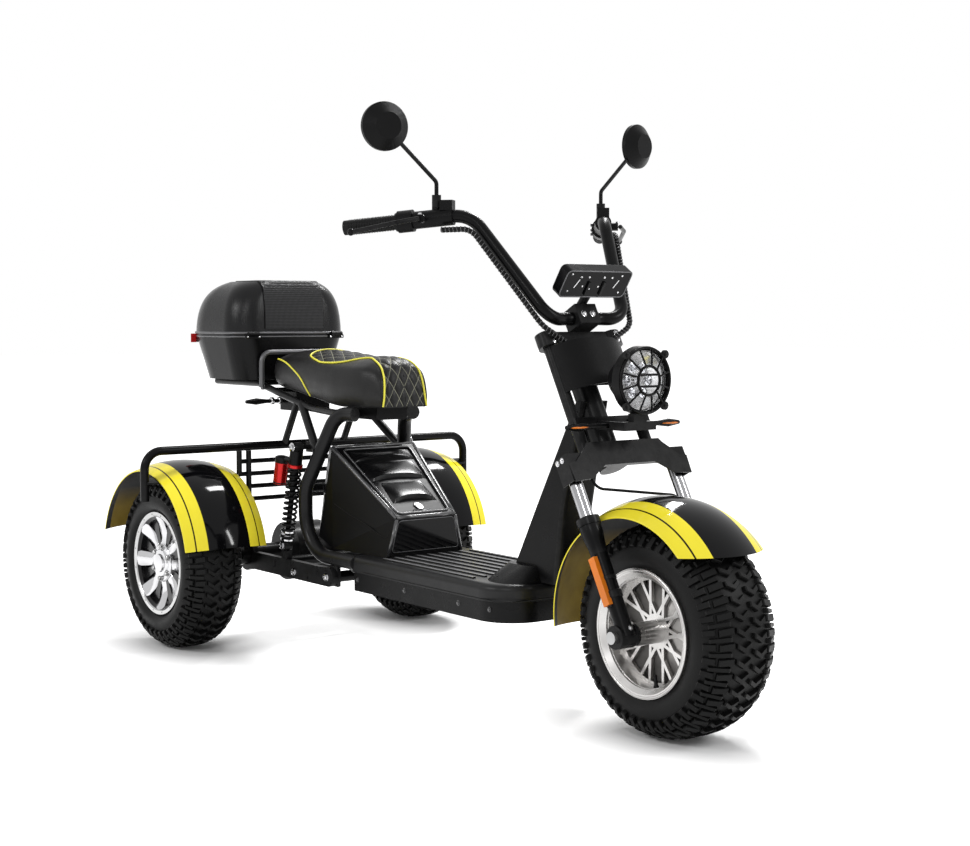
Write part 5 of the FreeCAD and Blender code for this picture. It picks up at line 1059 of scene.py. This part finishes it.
def bundle_line(side):
    """The cable's straight runs and bends, near enough for a coil round it."""
    corners = [V(985, 240, 1042), V(1045, 206, 1043), V(1188, 124, 836),
               F(637.5, 44, 22.1) * 1000 + V(MIDDLE * 1000, 0, 0)]
    line = [corners[0]]
    for i in (1, 2):
        before = (corners[i - 1] - corners[i]).normalized()
        after = (corners[i + 1] - corners[i]).normalized()
        turn = pi - before.angle(after)
        reach = 44 * abs(sin(turn / 2) / cos(turn / 2))
        head, tail = corners[i] + before * reach, corners[i] + after * reach
        inward = (before + after).normalized()
        centre = corners[i] + inward * (44 / cos(turn / 2))
        line.append(head)
        for k in range(1, 8):
            mid = head.lerp(tail, k / 8)
            line.append(centre + (mid - centre).normalized() * 44)
        line.append(tail)
    line.append(corners[-1])
    return [V(q.x, q.y * side, q.z) for q in line]


def resample(line, step):
    out = [line[0]]
    left = step
    for a, b in zip(line, line[1:]):
        run = (b - a).length
        at = left
        while at <= run:
            out.append(a.lerp(b, at / run))
            at += step
        left = at - run
    return out


def cable_wraps():
    coil = Heap()
    for side in SIDES:
        line = resample(bundle_line(side), 1.3)
        path = []
        up = UP
        for i, point in enumerate(line[:-12]):
            way = (line[min(i + 1, len(line) - 1)] - line[max(i - 1, 0)]).normalized()
            up = (up - way * up.dot(way)).normalized()
            over = way.cross(up)
            a = i * 2 * pi / 7
            q = point + (up * cos(a) + over * sin(a)) * 5.8
            path.append(P(*q))
        coil.sweep(path, 0.0013, 5)
    coil.make("cable_wraps", "steering", EDGE, "black_rubber")


cable_wraps()


# Handlebar ends: ribbed grips, mirror faces, switch buttons

def bar_trim():
    ribs, buttons, glass_faces, pivots = Heap(), Heap(), Heap(), Heap()
    for side in SIDES:
        end = V(807, side * 366, 1050)
        corner = V(1022, side * 190, 1075)
        way = (corner - end).normalized()
        for k in range(17):
            spot = end + way * (8 + k * 6)
            ribs.turned(P(*spot), way, [(-0.0016, 0.016), (-0.0008, 0.0171), (0.0008, 0.0171),
                                        (0.0016, 0.016)], 24, caps=(False, False))
        ribs.turned(P(*(end - way * 4)), -way, [(-0.002, 0.0162), (0.0015, 0.0158),
                                                (0.003, 0.012)], 24)
        pod = end + way * 136
        ahead = UP.cross(way).normalized() * side
        for dz, radius in ((10, 0.004), (-2, 0.0032), (-12, 0.0035)):
            spot = pod - ahead * 23.5 + UP * dz
            buttons.turned(P(*spot), -ahead, [(-0.004, radius), (0.0022, radius),
                                              (0.003, radius * 0.7)], 14)
        spot = end + way * 176.6 + ahead * 36
        pivots.bolt(P(spot.x, spot.y, spot.z + 9.2), UP, 0.0042, 0.003)
        middle = V(948, side * 360, 1258)
        turn_in = radians(12)
        face = V(cos(turn_in), side * sin(turn_in), 0)
        glass_faces.turned(P(*(middle - face * 7.8)), -face, [(0, 0.0485), (0.0009, 0.048)], 40)
    by_angle(ribs.make("grip_ribs", "steering", RUBBER, "black_rubber"))
    by_angle(buttons.make("switch_buttons", "steering", GREYBAR, "matt_black"))
    by_angle(glass_faces.make("mirror_glasses", "steering", MIRROR, "chrome"))
    by_angle(pivots.make("lever_pivots", "steering", CHROME, "chrome"))


bar_trim()


# Signals, shocks, tail, case and deck fittings

SHOCK_FOOT, SHOCK_RUN = V(198, 0, 268), V(57, 0, 256)
SHOCK_AXIS = SHOCK_RUN.normalized()


def shock_place(share, side):
    """A place on the damper's axis, a share of the way from foot to head."""
    spot = SHOCK_FOOT + SHOCK_RUN * share
    return P(spot.x, side * 166, spot.z)


def case_ring(grow, z):
    """Plan of the case at its seam: small round corners in front, big ones at the back."""
    ring = []
    for x, y, radius, start in ((-101, -110, 70, 270), (-101, 110, 70, 0), (-219, 27, 153, 90),
                                (-219, -27, 153, 180)):
        for k in range(13):
            a = radians(start + 90 * k / 12)
            ring.append(P(x + cos(a) * (radius + grow), y + sin(a) * (radius + grow), z))
    return ring


def fittings():
    for name, body, x, y, z in (("front_signal_lenses", "steering", 1312.2, 104, 629.5),
                                ("rear_signal_lenses", "chassis", -13.4, 112, 629)):
        amber = Heap()
        for side in SIDES:
            amber.turned(P(x, side * y, z), out(side),
                         [(0, 0.0006), (0.012, 0.0019), (0.026, 0.0024), (0.038, 0.0018),
                          (0.046, 0.0005)], 10)
        amber.make(name, body, AMBER, "amber")
    chrome = Heap()
    for side in SIDES:
        for y in (58, 82):
            chrome.turned(P(-6, side * y, 629), out(side),
                          [(0, 0.0085), (0.0015, 0.0105), (0.009, 0.0105), (0.0105, 0.0085)], 12)
        for x, y, z, radius in ((255, 180.4, 524, 0.0095), (198, 178.2, 268, 0.008),
                                (248, 173.2, 205, 0.0075), (402, 173.2, 211, 0.0075)):
            chrome.bolt(P(x, side * y, z), out(side), radius, 0.006)
        for share in (0.06, 0.1, 0.14):
            spot = shock_place(share, side)
            chrome.turned(spot, SHOCK_AXIS, [(-0.001, 0.012), (0, 0.0165), (0.004, 0.0165),
                                             (0.005, 0.012)], 20)
    by_angle(chrome.make("frame_bolts", "chassis", CHROME, "chrome"))
    dark = Heap()
    for side in SIDES:
        for x in (520, 720, 932, 1040):
            dark.bolt(P(x, side * (157.2 if x < 1030 else 152.5), 218), out(side), 0.0045, 0.003)
    by_angle(dark.make("deck_bolts", "chassis", EDGE, "steel"))
    red = Heap()
    for side in SIDES:
        red.turned(shock_place(0.8, side), SHOCK_AXIS,
                   [(0, 0.0172), (0.001, 0.0195), (0.008, 0.0195), (0.009, 0.0172)], 24)
    by_angle(red.make("shock_rings", "chassis", RED, "red_alloy"))
    caps = Heap()
    for side in SIDES:
        low = shock_place(0.62, side) - V(0.066, 0, 0)
        caps.turned(low, SHOCK_AXIS, [(-0.003, 0.013), (-0.002, 0.0175), (0.004, 0.0186),
                                      (0.005, 0.018)], 24)
        caps.turned(low + SHOCK_AXIS * 0.066, SHOCK_AXIS,
                    [(-0.01, 0.018), (-0.009, 0.0188), (0.003, 0.0188), (0.005, 0.015)], 24)
    by_angle(caps.make("reservoir_caps", "chassis", SATIN, "satin_black"))
    case = Heap()
    case.sweep(case_ring(0.6, 811.5), 0.0034, 10, closed=True)
    case.sweep(case_ring(-1.5, 801.5), 0.0024, 8, closed=True)
    case.make("case_trim_strip", "case_lid", GREYBAR, "case_grey")
    clasp = Heap()
    for side in SIDES:
        x, y = -30.6, side * 130
        clasp.plate(rounded([P(x, y - 24, 796), P(x, y + 24, 796), P(x, y + 24, 806),
                             P(x, y - 24, 806)], 0.003), FORWARD * 0.005)
    by_angle(clasp.make("hinge_leaves", "chassis", PLASTIC, "matt_black"))
    dots = Heap()
    for side in SIDES:
        for dy in (-18, 18):
            dots.turned(P(-25.4, side * 130 + dy, 801), FORWARD,
                        [(-0.0002, 0.0032), (0.0012, 0.0028), (0.0018, 0.0014)], 12)
    by_angle(dots.make("hinge_screws", "chassis", CHROME, "chrome"))
    band = Heap()
    line = rounded([P(1101.6, -160.6, 240), P(1101.6, 160.6, 240), P(505, 160.6, 240),
                    P(505, -160.6, 240)], 0.05, 10)
    band.sweep(line, 0.0016, 6, closed=True)
    band.make("deck_seam_bead", "chassis", RUBBER, "deck_black")


fittings()


# Stage and light

def stage():
    """A wide pale floor, darker only close round the wheels, where it keeps their shadow and its
    glow is cut away as painted shade.
    """
    mesh = bpy.data.meshes.new("floor")
    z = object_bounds()[0][2] - 0.0004
    mesh.from_pydata([(-30, -30, z), (30, -30, z), (30, 30, z), (-30, 30, z)], [],
                     [(0, 1, 2, 3)])
    floor = place("floor", mesh)
    p = Paint("floor")
    p.nodes.remove(p.shader)
    matte = p.put("BsdfDiffuse", (0.92, 0.92, 0.92))
    x, y, z = p.axes()
    level = p.span(p.reach(x, y), 1.6, 7, 0.7, 0.95)
    # Painted shade: the glow drops in a stretched oval round each wheel, darkening the floor there
    # on top of the wheels' real shadow
    for wheel in (P(WHEELBASE, 0, 0), P(0, HALF_TRACK, 0), P(0, -HALF_TRACK, 0)):
        near = p.reach(p.less(x, wheel.x), p.times(p.less(y, wheel.y), 1.9))
        level = p.times(level, p.span(near, 0.15, 0.42, 0.02, 1))
    glow = p.put("Emission", (1, 1, 1), p.times(p.seen(), level))
    both = p.put("AddShader", matte.outputs[0], glow.outputs[0])
    p.links.new(both.outputs[0], p.nodes["Material Output"].inputs[0])
    mesh.materials.append(p.m)
    floor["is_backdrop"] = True


def world():
    """White to the camera, mirrors and glass; a softer even light on the object."""
    w = bpy.data.worlds.new("studio")
    scene.world = w
    g = Graph(w)
    back = g.nodes["Background"]
    g.set(back.inputs["Strength"], g.span(g.seen(), 0, 1, 0.55, 1))
    back.inputs["Color"].default_value = (1, 1, 1, 1)


def lamp(name, spot, target, width, height, power):
    data = bpy.data.lights.new(name, "AREA")
    data.shape = "RECTANGLE"
    data.size, data.size_y = width, height
    data.energy = power
    spot = Vector(spot)
    aim = (Vector(target) - spot).to_track_quat("-Z", "Y").to_matrix().to_4x4()
    place(name, data).matrix_world = Matrix.Translation(spot) @ aim


stage()
world()
lamp("top", (-0.9, 1.6, 3), (0, 0, 0.3), 0.3, 1.8, 92)
lamp("front_left", (3.1, 1.9, 2.3), (0.1, 0, 0.5), 0.2, 1.3, 40)
lamp("right", (-0.5, -3.3, 2.3), (0, 0, 0.5), 1.5, 0.16, 34)
lamp("near", (2.6, -2.9, 2.7), (0.3, 0, 0.4), 0.16, 0.9, 24)
